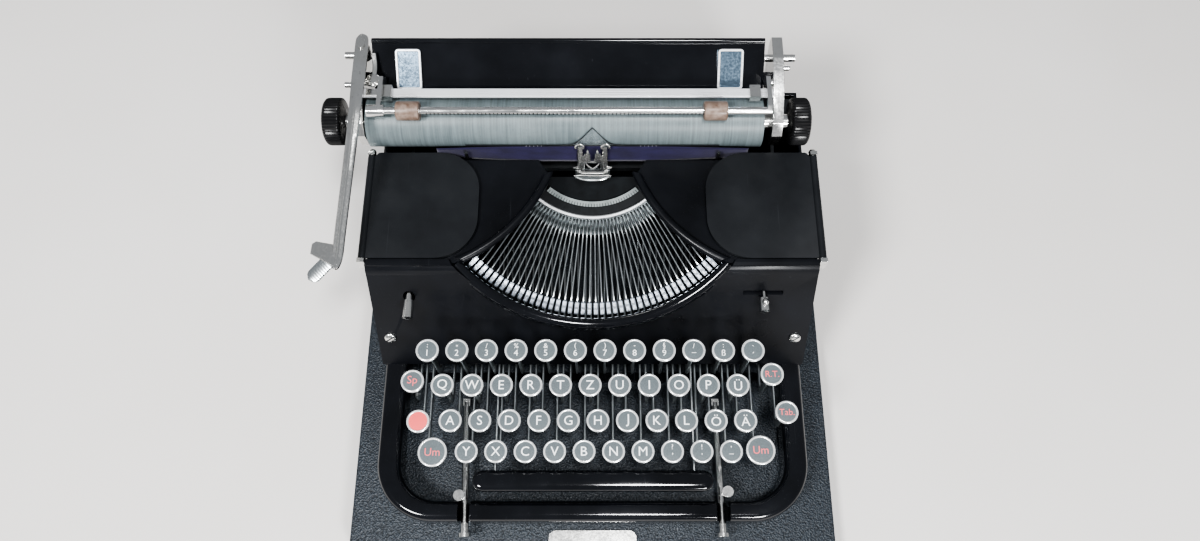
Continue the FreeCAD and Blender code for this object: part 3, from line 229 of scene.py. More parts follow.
def spun(points, angles):
    """Copies of points turned about Z by each angle."""
    c, s = np.cos(angles), np.sin(angles)
    z = np.zeros_like(c)
    turn = np.stack([np.stack([c, -s, z], -1), np.stack([s, c, z], -1), np.stack([z, z, z + 1], -1)], -2)
    return np.einsum("kij,...j->k...i", turn, points)


def letters(text, size, centre, slot=0, thick=0.12, squeeze=1.0):
    """Characters as a thin raised mesh, centred on a point and facing up."""
    curve = bpy.data.curves.new("letters", "FONT")
    curve.body, curve.size, curve.extrude, curve.resolution_u = text, size, thick, 3
    holder = bpy.data.objects.new("letters", curve)
    mesh = bpy.data.meshes.new_from_object(holder)
    mesh.calc_loop_triangles()
    v = np.empty(len(mesh.vertices) * 3)
    f = np.empty(len(mesh.loop_triangles) * 3, int)
    mesh.vertices.foreach_get("co", v)
    mesh.loop_triangles.foreach_get("vertices", f)
    bpy.data.objects.remove(holder)
    bpy.data.curves.remove(curve)
    bpy.data.meshes.remove(mesh)
    v = v.reshape(-1, 3)
    v[:, :2] -= (v[:, :2].max(0) + v[:, :2].min(0)) / 2
    v[:, 0] *= squeeze
    return {
        "v": v + np.asarray(centre, float), "f": f.reshape(-1, 3), "slot": slot, "uv": np.zeros((len(v), 2)),
    }


def make_piece(name, shapes, finishes, node, replaces=(), crease=35.0, shell=False):
    """Join shapes in metres, close their seams, turn their faces outward, and ride them on a node's body."""
    faces, slots, start = [], [], 0
    for shape in shapes:
        faces += (shape["f"] + start).tolist()
        slots.append(np.full(len(shape["f"]), shape["slot"]))
        start += len(shape["v"])
    mesh = bpy.data.meshes.new(name)
    mesh.from_pydata(np.concatenate([s["v"] for s in shapes]) * MM, [], faces)
    mesh.polygons.foreach_set("material_index", np.concatenate(slots).astype(np.int32))
    layer = mesh.uv_layers.new(name="UVMap")
    corner = np.empty(len(mesh.loops), np.int32)
    mesh.loops.foreach_get("vertex_index", corner)
    layer.data.foreach_set("uv", np.concatenate([s["uv"] for s in shapes])[corner].ravel())
    work = bmesh.new()
    work.from_mesh(mesh)
    bmesh.ops.remove_doubles(work, verts=work.verts, dist=2e-6)
    bmesh.ops.dissolve_degenerate(work, edges=work.edges, dist=1e-7)
    if not shell:
        bmesh.ops.recalc_face_normals(work, faces=work.faces)
    work.to_mesh(mesh)
    work.free()
    return finish_piece(name, mesh, finishes, node, replaces, crease)


def finish_piece(name, mesh, finishes, node, replaces, crease):
    """Shade a mesh smooth except at its creases, give it its finishes, and set it on its node's body."""
    mesh.shade_smooth()
    mesh.set_sharp_from_angle(angle=math.radians(crease))
    for finish in finishes:
        mesh.materials.append(FINISHES[finish]())
    piece = bpy.data.objects.new(name, mesh)
    bpy.context.scene.collection.objects.link(piece)
    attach(piece, NODES[node]["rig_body"])
    if replaces:
        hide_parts(*replaces)
    return piece


def eased_copy(node, finish, width, angle=28.0, segments=2):
    """Copy of a packed node with its triangles joined, its flat faces cleared and its edges rounded."""
    mesh = NODES[node].data.copy()
    mesh.name = node + "_eased"
    mesh.materials.clear()
    work = bmesh.new()
    work.from_mesh(mesh)
    bmesh.ops.remove_doubles(work, verts=work.verts, dist=2e-6)
    bmesh.ops.dissolve_limit(
        work, angle_limit=math.radians(0.4), verts=work.verts, edges=work.edges, delimit={"NORMAL"}
    )
    for edge in work.edges:
        edge.smooth = True
    work.to_mesh(mesh)
    work.free()
    if mesh.has_custom_normals:
        with bpy.context.temp_override():
            mesh.normals_split_custom_set([(0, 0, 0)] * len(mesh.loops))
    piece = finish_piece(mesh.name, mesh, [finish], node, [node], 30.0)
    if width:
        bevel = piece.modifiers.new("Rounded edges", "BEVEL")
        bevel.width, bevel.segments = width * MM, segments
        bevel.limit_method, bevel.angle_limit = "ANGLE", math.radians(angle)
        bevel.harden_normals = True
    return piece


# ---- finishes -----------------------------------------------------------------------------------
class Finish:
    """A material being built: nodes are added and linked by name, constants go on the shader."""

    def __init__(self, name, **constants):
        self.material = bpy.data.materials.new(name)
        self.material.use_nodes = True
        self.tree = self.material.node_tree
        self.shader = next(n for n in self.tree.nodes if n.type == "BSDF_PRINCIPLED")
        self.set(**constants)

    def set(self, **values):
        """Set or link shader inputs; an underscore in a name stands for a space."""
        self.fill(self.shader, {k.replace("_", " "): v for k, v in values.items()})

    def fill(self, node, values):
        for key, value in values.items():
            if isinstance(value, bpy.types.NodeSocket):
                self.tree.links.new(value, node.inputs[key])
            else:
                node.inputs[key].default_value = value

    def node(self, kind, values=(), **settings):
        made = self.tree.nodes.new("ShaderNode" + kind)
        for key, value in settings.items():
            setattr(made, key, value)
        self.fill(made, dict(values))
        return made

    def place(self, scale=(1, 1, 1), turn=(0, 0, 0), uv=False):
        """Position on the piece, in metres or on its own map, scaled and turned."""
        source = self.node("TexCoord").outputs["UV" if uv else "Object"]
        return self.node("Mapping", {"Vector": source, "Scale": scale, "Rotation": turn}).outputs[0]

    def noise(self, at, scale, detail=3.0, rough=0.55, low=0.3, high=0.7):
        """Cloudy pattern stretched so that low becomes 0 and high becomes 1."""
        raw = self.node("TexNoise", {"Vector": at, "Scale": scale, "Detail": detail, "Roughness": rough})
        return self.span(raw.outputs["Fac"], low, high)

    def span(self, value, low, high, to_low=0.0, to_high=1.0):
        """Stretch low to high onto another range."""
        return self.node("MapRange", {
            "Value": value, "From Min": low, "From Max": high, "To Min": to_low, "To Max": to_high,
        }).outputs[0]

    def math(self, kind, a, b=0.0):
        return self.node("Math", {0: a, 1: b}, operation=kind).outputs[0]

    def mix(self, part, a, b):
        """Blend two colours."""
        made = self.node("Mix", {"Factor": part}, data_type="RGBA")
        for index, value in ((6, a), (7, b)):
            if isinstance(value, bpy.types.NodeSocket):
                self.tree.links.new(value, made.inputs[index])
            else:
                made.inputs[index].default_value = (*value, 1.0)
        return made.outputs[2]

    def bump(self, height, strength, depth, normal=None):
        values = {"Height": height, "Strength": strength, "Distance": depth}
        if normal is not None:
            values["Normal"] = normal
        return self.node("Bump", values).outputs[0]


FINISHES = {}


def colours():
    """The colours that a user may change."""
    return bpy.context.scene.typewriter_colours


def shade(colour, part):
    """A colour made darker or lighter by a factor."""
    return tuple(part * c for c in colour)


def finish(function):
    """Register a finish so that its material is made once, when first asked for."""
    made = []

    def get():
        if not made:
            made.append(function())
        return made[0]

    FINISHES[function.__name__] = get
    return function


def metal(
    name, colour, dull, rough=(0.12, 0.3), grain=(1, 1, 1), grain_size=900.0, spots=0.25, depth=0.00002,
):
    """Plated or bare metal: cloudy dulling, fine drawn grain along one way, and small dark spots."""
    f = Finish(name, Metallic=1.0)
    at = f.place()
    cloud = f.noise(at, 45.0, 4.0)
    fine = f.noise(f.place(grain), grain_size, 3.0)
    spot = f.noise(at, 420.0, 2.0, low=0.64, high=0.74)
    base = f.mix(f.math("MULTIPLY", cloud, 0.6), colour, dull)
    base = f.mix(f.math("MULTIPLY", spot, spots), base, tuple(c * 0.35 for c in dull))
    f.set(Base_Color=base, Roughness=f.span(f.math("ADD", cloud, fine), 0, 2, *rough))
    f.set(Normal=f.bump(fine, 0.35, depth))
    return f.material


@finish
def nickel():
    return metal("Nickel plate", tuple(colours().nickel), (0.60, 0.59, 0.56), (0.10, 0.30))


@finish
def key_ring():
    """Bright ring: part plate, part pale base colour painted as the reflection of a bright lamp, so that it
    stays light whatever it mirrors.
    """
    f = Finish("Key ring", Metallic=0.55, Specular_IOR_Level=0.6)
    at = f.place()
    cloud = f.noise(at, 160.0, 4.0)
    wear = f.noise(at, 900.0, 2.0, low=0.62, high=0.75)
    # the pale base colours are painted reflection, keeping the ring light under a dim sky
    base = f.mix(cloud, (0.86, 0.87, 0.87), (0.72, 0.73, 0.73))
    f.set(Base_Color=f.mix(f.math("MULTIPLY", wear, 0.5), base, (0.34, 0.34, 0.33)))
    f.set(Roughness=f.span(cloud, 0, 1, 0.16, 0.32), Normal=f.bump(cloud, 0.1, 0.00003))
    return f.material


@finish
def bar_steel():
    return metal(
        "Typebar steel", (0.62, 0.65, 0.66), (0.34, 0.36, 0.37), (0.24, 0.44),
        (1, 0.05, 1), 1500.0, 0.5,
    )


@finish
def slug_steel():
    return metal(
        "Type slug steel", (0.50, 0.54, 0.58), (0.26, 0.29, 0.33), (0.22, 0.42),
        (1, 1, 1), 1300.0, 0.7,
    )


@finish
def type_face():
    return metal("Type face", (0.88, 0.92, 0.98), (0.66, 0.72, 0.80), (0.24, 0.42), (1, 1, 1), 1300.0, 0.4)


def basket_polar(f):
    """Distance from the basket's axis, and angle round it from the middle plane."""
    source = f.node("TexCoord").outputs["Object"]
    local = f.node("Mapping", {
        "Vector": source, "Location": tuple(BASKET * MM), "Rotation": (TILT, 0, 0),
    }, vector_type="TEXTURE").outputs[0]
    split = f.node("SeparateXYZ", {0: local})
    x, y = split.outputs[0], split.outputs[1]
    radius = f.math("SQRT", f.math("ADD", f.math("MULTIPLY", x, x), f.math("MULTIPLY", y, y)))
    return radius, f.math("ARCTAN2", x, f.math("MULTIPLY", y, -1.0))


@finish
def segment_steel():
    """Slotted steel arc whose sunk floor, nearer the basket's axis than the bright ring, is painted near black
    as the shade that falls in it.
    """
    f = Finish("Segment steel", Specular_IOR_Level=0.2)
    radius = basket_polar(f)[0]
    rim = f.math("GREATER_THAN", radius, 0.0585)
    cloud = f.noise(f.place(), 300.0, 4.0)
    steel = f.mix(cloud, (0.20, 0.225, 0.23), (0.09, 0.10, 0.105))
    # painted shade: the sunk floor is near black and not metallic, where shade falls under the ring
    floor = f.mix(cloud, (0.005, 0.006, 0.007), (0.014, 0.016, 0.018))
    f.set(Base_Color=f.mix(rim, floor, steel), Metallic=rim, Roughness=f.span(cloud, 0, 1, 0.42, 0.62))
    f.set(Normal=f.bump(cloud, 0.15, 0.00004))
    return f.material


@finish
def lever_steel():
    return metal(
        "Lever steel", (0.58, 0.61, 0.62), (0.30, 0.32, 0.33), (0.25, 0.45),
        (1, 0.06, 1), 1400.0, 0.5,
    )


@finish
def frame_steel():
    return metal(
        "Blackened steel", (0.10, 0.105, 0.11), (0.045, 0.047, 0.05), (0.35, 0.55),
        (1, 1, 1), 900.0, 0.4,
    )


@finish
def white_bar():
    """Bright chrome bar whose pale base colour is painted reflection, so that it looks white whatever it
    mirrors, with a fine lengthwise grain.
    """
    f = Finish("Bright margin bar", Metallic=0.45, Specular_IOR_Level=0.6)
    grain = f.noise(f.place((0.03, 1, 1)), 1200.0, 3.0)
    cloud = f.noise(f.place(), 60.0, 3.0)
    # pale base colours: painted reflection, keeping the bar white whatever it mirrors
    base = f.mix(grain, (0.90, 0.91, 0.92), (0.80, 0.81, 0.83))
    f.set(Base_Color=f.mix(f.math("MULTIPLY", cloud, 0.3), base, (0.70, 0.72, 0.74)))
    f.set(Roughness=f.span(grain, 0, 1, 0.22, 0.36), Normal=f.bump(grain, 0.15, 0.00003))
    return f.material


def enamel_like(name, colour, haze, rough, coat, peel, dust):
    """Stoved enamel: slow haze, a trace of dust, hairline scratches and a faint orange-peel skin."""
    f = Finish(name, Coat_Weight=coat, Coat_Roughness=0.04, Specular_IOR_Level=0.35)
    at = f.place()
    cloud = f.noise(at, 22.0, 4.0)
    speck = f.noise(at, 1400.0, 1.0, low=0.74, high=0.80)
    hair = f.noise(f.place((1, 0.02, 1), (0, 0, 0.6)), 700.0, 2.0, low=0.70, high=0.78)
    marks = f.math(
        "MULTIPLY", f.math("ADD", f.math("MULTIPLY", speck, 0.7), f.math("MULTIPLY", hair, 0.35)), dust,
    )
    base = f.mix(cloud, colour, haze)
    f.set(Base_Color=f.mix(marks, base, (0.30, 0.32, 0.36)))
    f.set(Roughness=f.span(f.math("ADD", cloud, marks), 0, 2, *rough))
    f.set(Normal=f.bump(f.noise(at, 160.0, 2.0, low=0.0, high=1.0), peel, 0.0003))
    return f.material


@finish
def gloss_black():
    return enamel_like(
        "Gloss black enamel", tuple(colours().enamel), shade(colours().enamel, 2.2),
        (0.05, 0.30), 0.5, 0.05, 0.12,
    )


@finish
def satin_black():
    return enamel_like(
        "Satin black enamel", (0.009, 0.010, 0.012), (0.017, 0.019, 0.022),
        (0.38, 0.62), 0.0, 0.12, 0.10,
    )


@finish
def front_black():
    return enamel_like(
        "Front panel enamel", tuple(colours().enamel), shade(colours().enamel, 2.4),
        (0.26, 0.46), 0.0, 0.05, 0.14,
    )


@finish
def guide_plate():
    return metal(
        "Polished guide", (0.30, 0.40, 0.50), (0.14, 0.20, 0.27), (0.10, 0.30),
        (1, 1, 1), 700.0, 0.3,
    )


@finish
def ebonite():
    return enamel_like(
        "Black moulding", (0.008, 0.008, 0.009), (0.018, 0.018, 0.019),
        (0.22, 0.42), 0.0, 0.06, 0.15,
    )


@finish
def leatherette():
    """Pebbled cloth: cell edges sunk between raised grains and painted dark as shade, the grain tops painted
    paler as highlight.
    """
    f = Finish("Pebbled leatherette", Specular_IOR_Level=0.45)
    at = f.place()
    warp = f.node("TexNoise", {"Vector": at, "Scale": 480.0, "Detail": 2.0}).outputs["Color"]
    moved = f.node("VectorMath", {0: warp, "Scale": 0.0012}, operation="SCALE").outputs[0]
    bent = f.node("VectorMath", {0: at, 1: moved}, operation="ADD").outputs[0]
    cell = f.node("TexVoronoi", {"Vector": bent, "Scale": 980.0}, feature="SMOOTH_F1").outputs["Distance"]
    grain = f.span(cell, 0.15, 0.75, 1.0, 0.0)
    fine = f.noise(at, 3200.0, 2.0, low=0.2, high=0.8)
    cloud = f.noise(at, 14.0, 4.0)
    # painted shade and highlight: sunk cell edges take a fifth of the board colour, raised grain tops the full
    # board colour
    base = f.mix(grain, shade(colours().board, 0.2), tuple(colours().board))
    base = f.mix(f.math("MULTIPLY", cloud, 0.35), base, (0.016, 0.021, 0.028))
    f.set(Base_Color=base, Roughness=f.span(grain, 0, 1, 0.62, 0.34))
    f.set(Normal=f.bump(fine, 0.15, 0.0001, f.bump(grain, 0.8, 0.0004)))
    return f.material


@finish
def platen_rubber():
    """Hardened grey rubber with fine streaks round the roller and faint strike marks along it."""
    f = Finish("Platen rubber", Specular_IOR_Level=0.5)
    streak = f.noise(f.place((1, 0.03, 0.03)), 900.0, 3.0)
    cloud = f.noise(f.place(), 30.0, 4.0)
    pits = f.noise(f.place((1, 0.5, 0.5)), 1300.0, 2.0, low=0.60, high=0.75)
    base = f.mix(streak, shade(colours().platen, 0.56), tuple(colours().platen))
    base = f.mix(f.math("MULTIPLY", cloud, 0.4), base, (0.21, 0.245, 0.25))
    base = f.mix(f.math("MULTIPLY", pits, 0.35), base, (0.06, 0.08, 0.085))
    f.set(Base_Color=base, Roughness=f.span(cloud, 0, 1, 0.34, 0.50), Normal=f.bump(streak, 0.2, 0.00005))
    return f.material


@finish
def roller_rubber():
    """Old brown-grey rubber, mottled and slightly shiny."""
    f = Finish("Aged rubber", Specular_IOR_Level=0.45)
    at = f.place()
    cloud = f.noise(at, 260.0, 4.0)
    base = f.mix(cloud, (0.13, 0.085, 0.062), (0.26, 0.205, 0.175))
    f.set(Base_Color=base, Roughness=f.span(cloud, 0, 1, 0.30, 0.5), Normal=f.bump(cloud, 0.3, 0.0001))
    return f.material


@finish
def foot_rubber():
    f = Finish("Foot rubber", Specular_IOR_Level=0.3)
    cloud = f.noise(f.place(), 200.0, 4.0)
    f.set(
        Base_Color=f.mix(cloud, (0.02, 0.02, 0.02), (0.06, 0.055, 0.05)),
        Roughness=f.span(cloud, 0, 1, 0.6, 0.85),
    )
    f.set(Normal=f.bump(cloud, 0.3, 0.0002))
    return f.material


def key_face(name, low, high):
    """Printed disc under glass: fine speckle in the card, glass gloss from the coat."""
    f = Finish(name, Coat_Weight=1.0, Coat_Roughness=0.03, Roughness=0.45, Specular_IOR_Level=0.4)
    at = f.place()
    speck = f.noise(at, 2400.0, 3.0)
    cloud = f.noise(at, 90.0, 3.0)
    base = f.mix(speck, low, high)
    f.set(Base_Color=f.mix(
        f.math("MULTIPLY", cloud, 0.4), base, tuple(0.5 * (a + b) for a, b in zip(low, high)),
    ))
    f.set(Normal=f.bump(speck, 0.08, 0.00003))
    return f.material


@finish
def key_disc():
    return key_face("Key disc", shade(colours().key_disc, 0.5), tuple(colours().key_disc))


@finish
def key_disc_red():
    return key_face("Red key disc", (0.72, 0.10, 0.10), (0.86, 0.17, 0.16))


def paint(name, colour, worn):
    """Letter paint with small thin places."""
    f = Finish(name, Roughness=0.45)
    thin = f.noise(f.place(), 1800.0, 3.0, low=0.45, high=0.8)
    f.set(Base_Color=f.mix(thin, colour, worn), Normal=f.bump(thin, 0.1, 0.00002))
    return f.material


@finish
def legend_white():
    return paint("White legend", tuple(colours().letters), shade(colours().letters, 0.8))


@finish
def legend_red():
    return paint("Red legend", tuple(colours().red_letters), (0.62, 0.24, 0.25))


@finish
def ribbon_cloth():
    """Plain weave of inked thread on the ribbon's own map, with darker and fresher ink along it."""
    f = Finish("Ribbon cloth", Roughness=0.75, Sheen_Weight=0.25, Specular_IOR_Level=0.25)
    at = f.place((1, 1, 1), uv=True)
    warp = f.node("TexWave", {
        "Vector": at, "Scale": 1050.0, "Distortion": 0.3,
    }, bands_direction="X").outputs["Fac"]
    weft = f.node("TexWave", {
        "Vector": at, "Scale": 1050.0, "Distortion": 0.3,
    }, bands_direction="Y").outputs["Fac"]
    weave = f.math("MULTIPLY", warp, weft)
    ink = f.noise(f.place((1, 3, 1), uv=True), 60.0, 3.0)
    base = f.mix(ink, shade(colours().ribbon, 0.4), tuple(colours().ribbon))
    f.set(Base_Color=f.mix(f.math("MULTIPLY", weave, 0.5), base, (0.030, 0.025, 0.078)))
    f.set(Normal=f.bump(weave, 0.5, 0.00006))
    return f.material


@finish
def clear_sheet():
    """Thin celluloid with fine scratches."""
    f = Finish("Clear celluloid", Transmission_Weight=0.85, IOR=1.3, Alpha=0.45)
    hair = f.noise(f.place((1, 0.05, 1)), 900.0, 2.0)
    f.set(
        Base_Color=f.mix(hair, (0.72, 0.78, 0.80), (0.55, 0.60, 0.62)),
        Roughness=f.span(hair, 0, 1, 0.10, 0.25),
    )
    f.set(Normal=f.bump(hair, 0.1, 0.00003))
    return f.material


@finish
def graduated():
    """Blackened plate whose curved band is bright with fine radial graduations."""
    f = Finish("Graduated plate", Specular_IOR_Level=0.12)
    radius, angle = basket_polar(f)
    part = f.math("FRACT", f.math("MULTIPLY", angle, 57.2958 / BAR_ANGLE))
    tick = f.node("Math", {0: part, 1: 0.5, 2: 0.13}, operation="COMPARE").outputs[0]
    outer = f.math("GREATER_THAN", radius, 0.0474)
    band = f.math("GREATER_THAN", radius, 0.0457)
    cloud = f.noise(f.place(), 120.0, 4.0)
    bright = f.mix(cloud, (0.17, 0.19, 0.19), (0.27, 0.29, 0.29))
    dark = f.mix(cloud, (0.004, 0.005, 0.006), (0.012, 0.014, 0.016))
    marked = f.mix(f.math("MULTIPLY", tick, outer), bright, (0.06, 0.07, 0.07))
    f.set(Base_Color=f.mix(band, dark, marked), Roughness=f.span(cloud, 0, 1, 0.50, 0.68))
    f.set(Normal=f.bump(tick, 0.2, 0.0001))
    return f.material


@finish
def ruled_rod():
    """Polished rod with black graduations on its lower half every tenth of an inch, long ones every fifth."""
    f = Finish("Ruled rod", Metallic=1.0)
    at = f.place()
    split = f.node("SeparateXYZ", {0: f.node("TexCoord").outputs["Object"]})
    step = f.math("MULTIPLY", split.outputs[0], 1 / 0.00254)
    tick = f.math("LESS_THAN", f.math("FRACT", f.math("ADD", step, 200.0)), 0.30)
    low = f.math("LESS_THAN", split.outputs[2], 0.1455)
    front = f.math("LESS_THAN", split.outputs[1], 0.1030)
    inside = f.math("LESS_THAN", f.math("ABSOLUTE", f.math("ADD", split.outputs[0], 0.018)), 0.090)
    ink = f.math("MULTIPLY", f.math("MULTIPLY", tick, inside), f.math("MULTIPLY", low, front))
    cloud = f.noise(at, 90.0, 3.0)
    base = f.mix(cloud, (0.86, 0.86, 0.85), (0.68, 0.68, 0.67))
    f.set(Base_Color=f.mix(ink, base, (0.03, 0.03, 0.035)), Roughness=f.span(cloud, 0, 1, 0.10, 0.26))
    f.set(Normal=f.bump(cloud, 0.1, 0.00003))
    return f.material


@finish
def pale_floor():
    """Matt pale backdrop, almost even."""
    f = Finish("Pale floor", Specular_IOR_Level=0.2)
    cloud = f.noise(f.place(), 3.0, 3.0)
    f.set(
        Base_Color=f.mix(cloud, (0.62, 0.60, 0.58), (0.66, 0.645, 0.63)),
        Roughness=f.span(cloud, 0, 1, 0.8, 0.9),
    )
    f.set(Normal=f.bump(f.noise(f.place(), 500.0, 2.0), 0.05, 0.0002))
    return f.material


KEPT = {
    "key_lever_shaft": "nickel", "inner_frame": "frame_steel", "carriage_rail": "frame_steel",
    "carriage_beam": "frame_steel", "segment": "segment_steel", "type_ring": "white_bar",
    "graduated_plate": "graduated", "rubber_feet": "foot_rubber",
    "platen_shaft": "nickel", "spring_drum": "nickel",
    "left_ribbon_spool": "nickel", "right_ribbon_spool": "nickel",
    "platen": "platen_rubber", "margin_stop_left": "nickel", "margin_stop_right": "nickel",
    "carriage_release_left": "nickel", "carriage_release_right": "nickel", "touch_control_pin": "nickel",
    "basket_rim": "gloss_black", "paper_bail": "ruled_rod",
}
EASED = {
    "case_base_board": ("leatherette", 0.8), "board_lock_plate": ("nickel", 0.3),
    "hold_down_rods": ("nickel", 0.3), "base_frame": ("gloss_black", 0.8),
    "front_rail_bar": ("gloss_black", 0.6), "body_shell": ("gloss_black", 0.6),
    "front_cowl": ("front_black", 0.5), "left_spool_cover": ("satin_black", 0.5),
    "right_spool_cover": ("satin_black", 0.5), "cover_hinge_pins": ("nickel", 0.3),
    "carriage_end_left": ("nickel", 0.5), "carriage_end_right": ("nickel", 0.5),
    "margin_bar": ("white_bar", 0.3),
    "paper_table": ("gloss_black", 0.4), "paper_guide_left": ("guide_plate", 0.25),
    "paper_guide_right": ("guide_plate", 0.25), "ribbon_colour_pin": ("nickel", 0.3),
}


# ---- pieces ---------------------------------------------------------------------------------------
def key_caps(places, radius, ring_wide, face_slot):
    """Rings and discs: a lathe outline of cup, rolled ring and domed glass, stood at every place."""
    r = radius
    ring = [(-4.0, 0), (-4.0, r - 2.4), (-3.5, r - 0.7), (-2.7, r - 0.1), (-1.1, r), (-0.4, r - 0.1),
            (-0.08, r - 0.45), (0, r - 0.85), (-0.1, r - 0.8 * ring_wide), (-0.5, r - ring_wide)]
    disc = [(-0.5, r - ring_wide), (-0.42, r * 0.62), (-0.34, r * 0.3), (-0.32, 0)]
    return [turned(ring, places, sides=32, slot=0), turned(disc, places, sides=32, slot=face_slot)]


def key_arms(places, lever_x):
    """Flat lever and stem of each key: an upright outline carried from the shaft, round the corner and up."""
    places = np.asarray(places, float)
    x, y, z = places.T
    turn = np.linspace(0, np.pi / 2, 5)
    level = np.full_like(y, LEVER_Z)
    back = [np.stack([lever_x, np.full_like(y, SHAFT_Y - 4.0), level], -1)]
    bend = [np.stack([lever_x, y + 5 - 5 * np.sin(a), level + 5 - 5 * np.cos(a)], -1) for a in turn]
    jog = [np.stack([lever_x + (x - lever_x) * s, y, level + 13 + 8 * k], -1) for k, s in
           zip(np.linspace(0, 1, 5), (0, 0.15, 0.5, 0.85, 1))]
    top = [np.stack([x, y, z - 3.2], -1)]
    path = np.stack([np.broadcast_to(p, (len(x), 3)) for p in back + bend + jog + top], 1)
    arm = carried(path, rounded(4.4, 1.5, 0.35, 1), (1, 0, 0), slot=2)
    hub = [(-1, 3.1), (-1, 6), (1, 6), (1, 3.1), (-1, 3.1)]
    spots = np.stack([lever_x, np.full_like(y, SHAFT_Y), level], -1)
    return [arm, turned(hub, spots, (1, 0, 0), 20, slot=2)]


def legend(text, place, slot=3, size=8.6):
    """What one cap says, raised a hair over its disc."""
    x, y, z = place
    if isinstance(text, tuple):
        return [
            letters(text[0], 4.6, (x, y + 2.8, z - 0.3), slot),
            letters(text[1], 5.8, (x, y - 1.8, z - 0.3), slot),
        ]
    return [letters(text, size, (x, y, z - 0.3), slot)]


KEY_FINISHES = ["key_ring", "key_disc", "lever_steel", "legend_white", "legend_red", "key_disc_red"]


def make_keys(sizes):
    """The four rows, the H key and the function keys."""
    cap, shift, ring, tall = (
        v / MM for v in (sizes.cap_radius, sizes.shift_radius, sizes.ring_wide, sizes.letter_tall)
    )
    for row, (first, y, z, texts) in ROWS.items():
        x = first + KEY_PITCH * np.arange(len(texts))
        places = np.stack([x, np.full_like(x, y), np.full_like(x, z)], -1)
        sets = {row: [i for i in range(len(texts)) if row != "key_row_home" or i != H_PLACE]}
        if row == "key_row_home":
            sets["key_h"] = [H_PLACE]
        for node, chosen in sets.items():
            shapes = key_caps(places[chosen], cap, ring, 1) + key_arms(places[chosen], x[chosen])
            for i in chosen:
                shapes += legend(texts[i], places[i], size=tall)
            make_piece(node + "_caps", shapes, KEY_FINISHES, node, [node])
    for node, (x, y, z, lever, text) in FUNCTION_KEYS.items():
        place = np.array([[x, y, z]])
        radius = shift if node.startswith("shift_key") else cap
        shapes = key_caps(place, radius, ring, 1 if text else 5) + key_arms(place, np.array([lever]))
        if text:
            wide = (0.84 if len(text) < 3 else 0.67) * tall
            shapes += legend(text, place[0], 4, wide)
        make_piece(node + "_cap", shapes, KEY_FINISHES, node, [node])


def make_spacebar():
    """Long bar on two flat arms: a rounded outline carried along X, narrowed at its ends by a circle's rule."""
    (left, right), y, top = SPACE_ENDS, SPACE_Y, SPACE_TOP
    hub = [(-0.7, 3.1), (-0.7, 6), (0.7, 6), (0.7, 3.1), (-0.7, 3.1)]
    t = np.linspace(0, 2 * np.pi, 28, endpoint=False)
    c, s = np.cos(t), np.sin(t)
    outline = np.stack([6.75 * np.sign(c) * abs(c) ** 0.62, 4.0 * np.sign(s) * abs(s) ** 0.72], -1)
    a = np.linspace(0, np.pi / 2, 7)
    x = np.concatenate([left + 6.7 * (1 - np.sin(a[::-1])), right - 6.7 * (1 - np.sin(a))])
    wide = np.concatenate([np.cos(a[::-1]), np.cos(a)])
    wide = np.maximum(wide, 0.02)
    size = np.stack([wide, wide ** 0.45], -1)
    path = np.stack([x, np.full_like(x, y), np.full_like(x, top - 4)], -1)
    shapes = [carried(path, outline, (0, 0, 1), size)]
    for arm in SPACE_ARMS:
        route = [(arm, SHAFT_Y - 4, LEVER_Z), (arm, y + 6, LEVER_Z)]
        turn = np.linspace(0.2, np.pi / 2, 5)
        route += [(arm, y + 5 - 5 * math.sin(k), LEVER_Z + 5 - 5 * math.cos(k)) for k in turn]
        route.append((arm, y, top - 5))
        shapes.append(carried(route, rounded(4.4, 1.4, 0.3, 1), (1, 0, 0), slot=1))
        shapes.append(turned(hub, (arm, SHAFT_Y, LEVER_Z), (1, 0, 0), 20, slot=1))
    make_piece("spacebar_moulding", shapes, ["gloss_black", "lever_steel"], "spacebar", ["spacebar"])


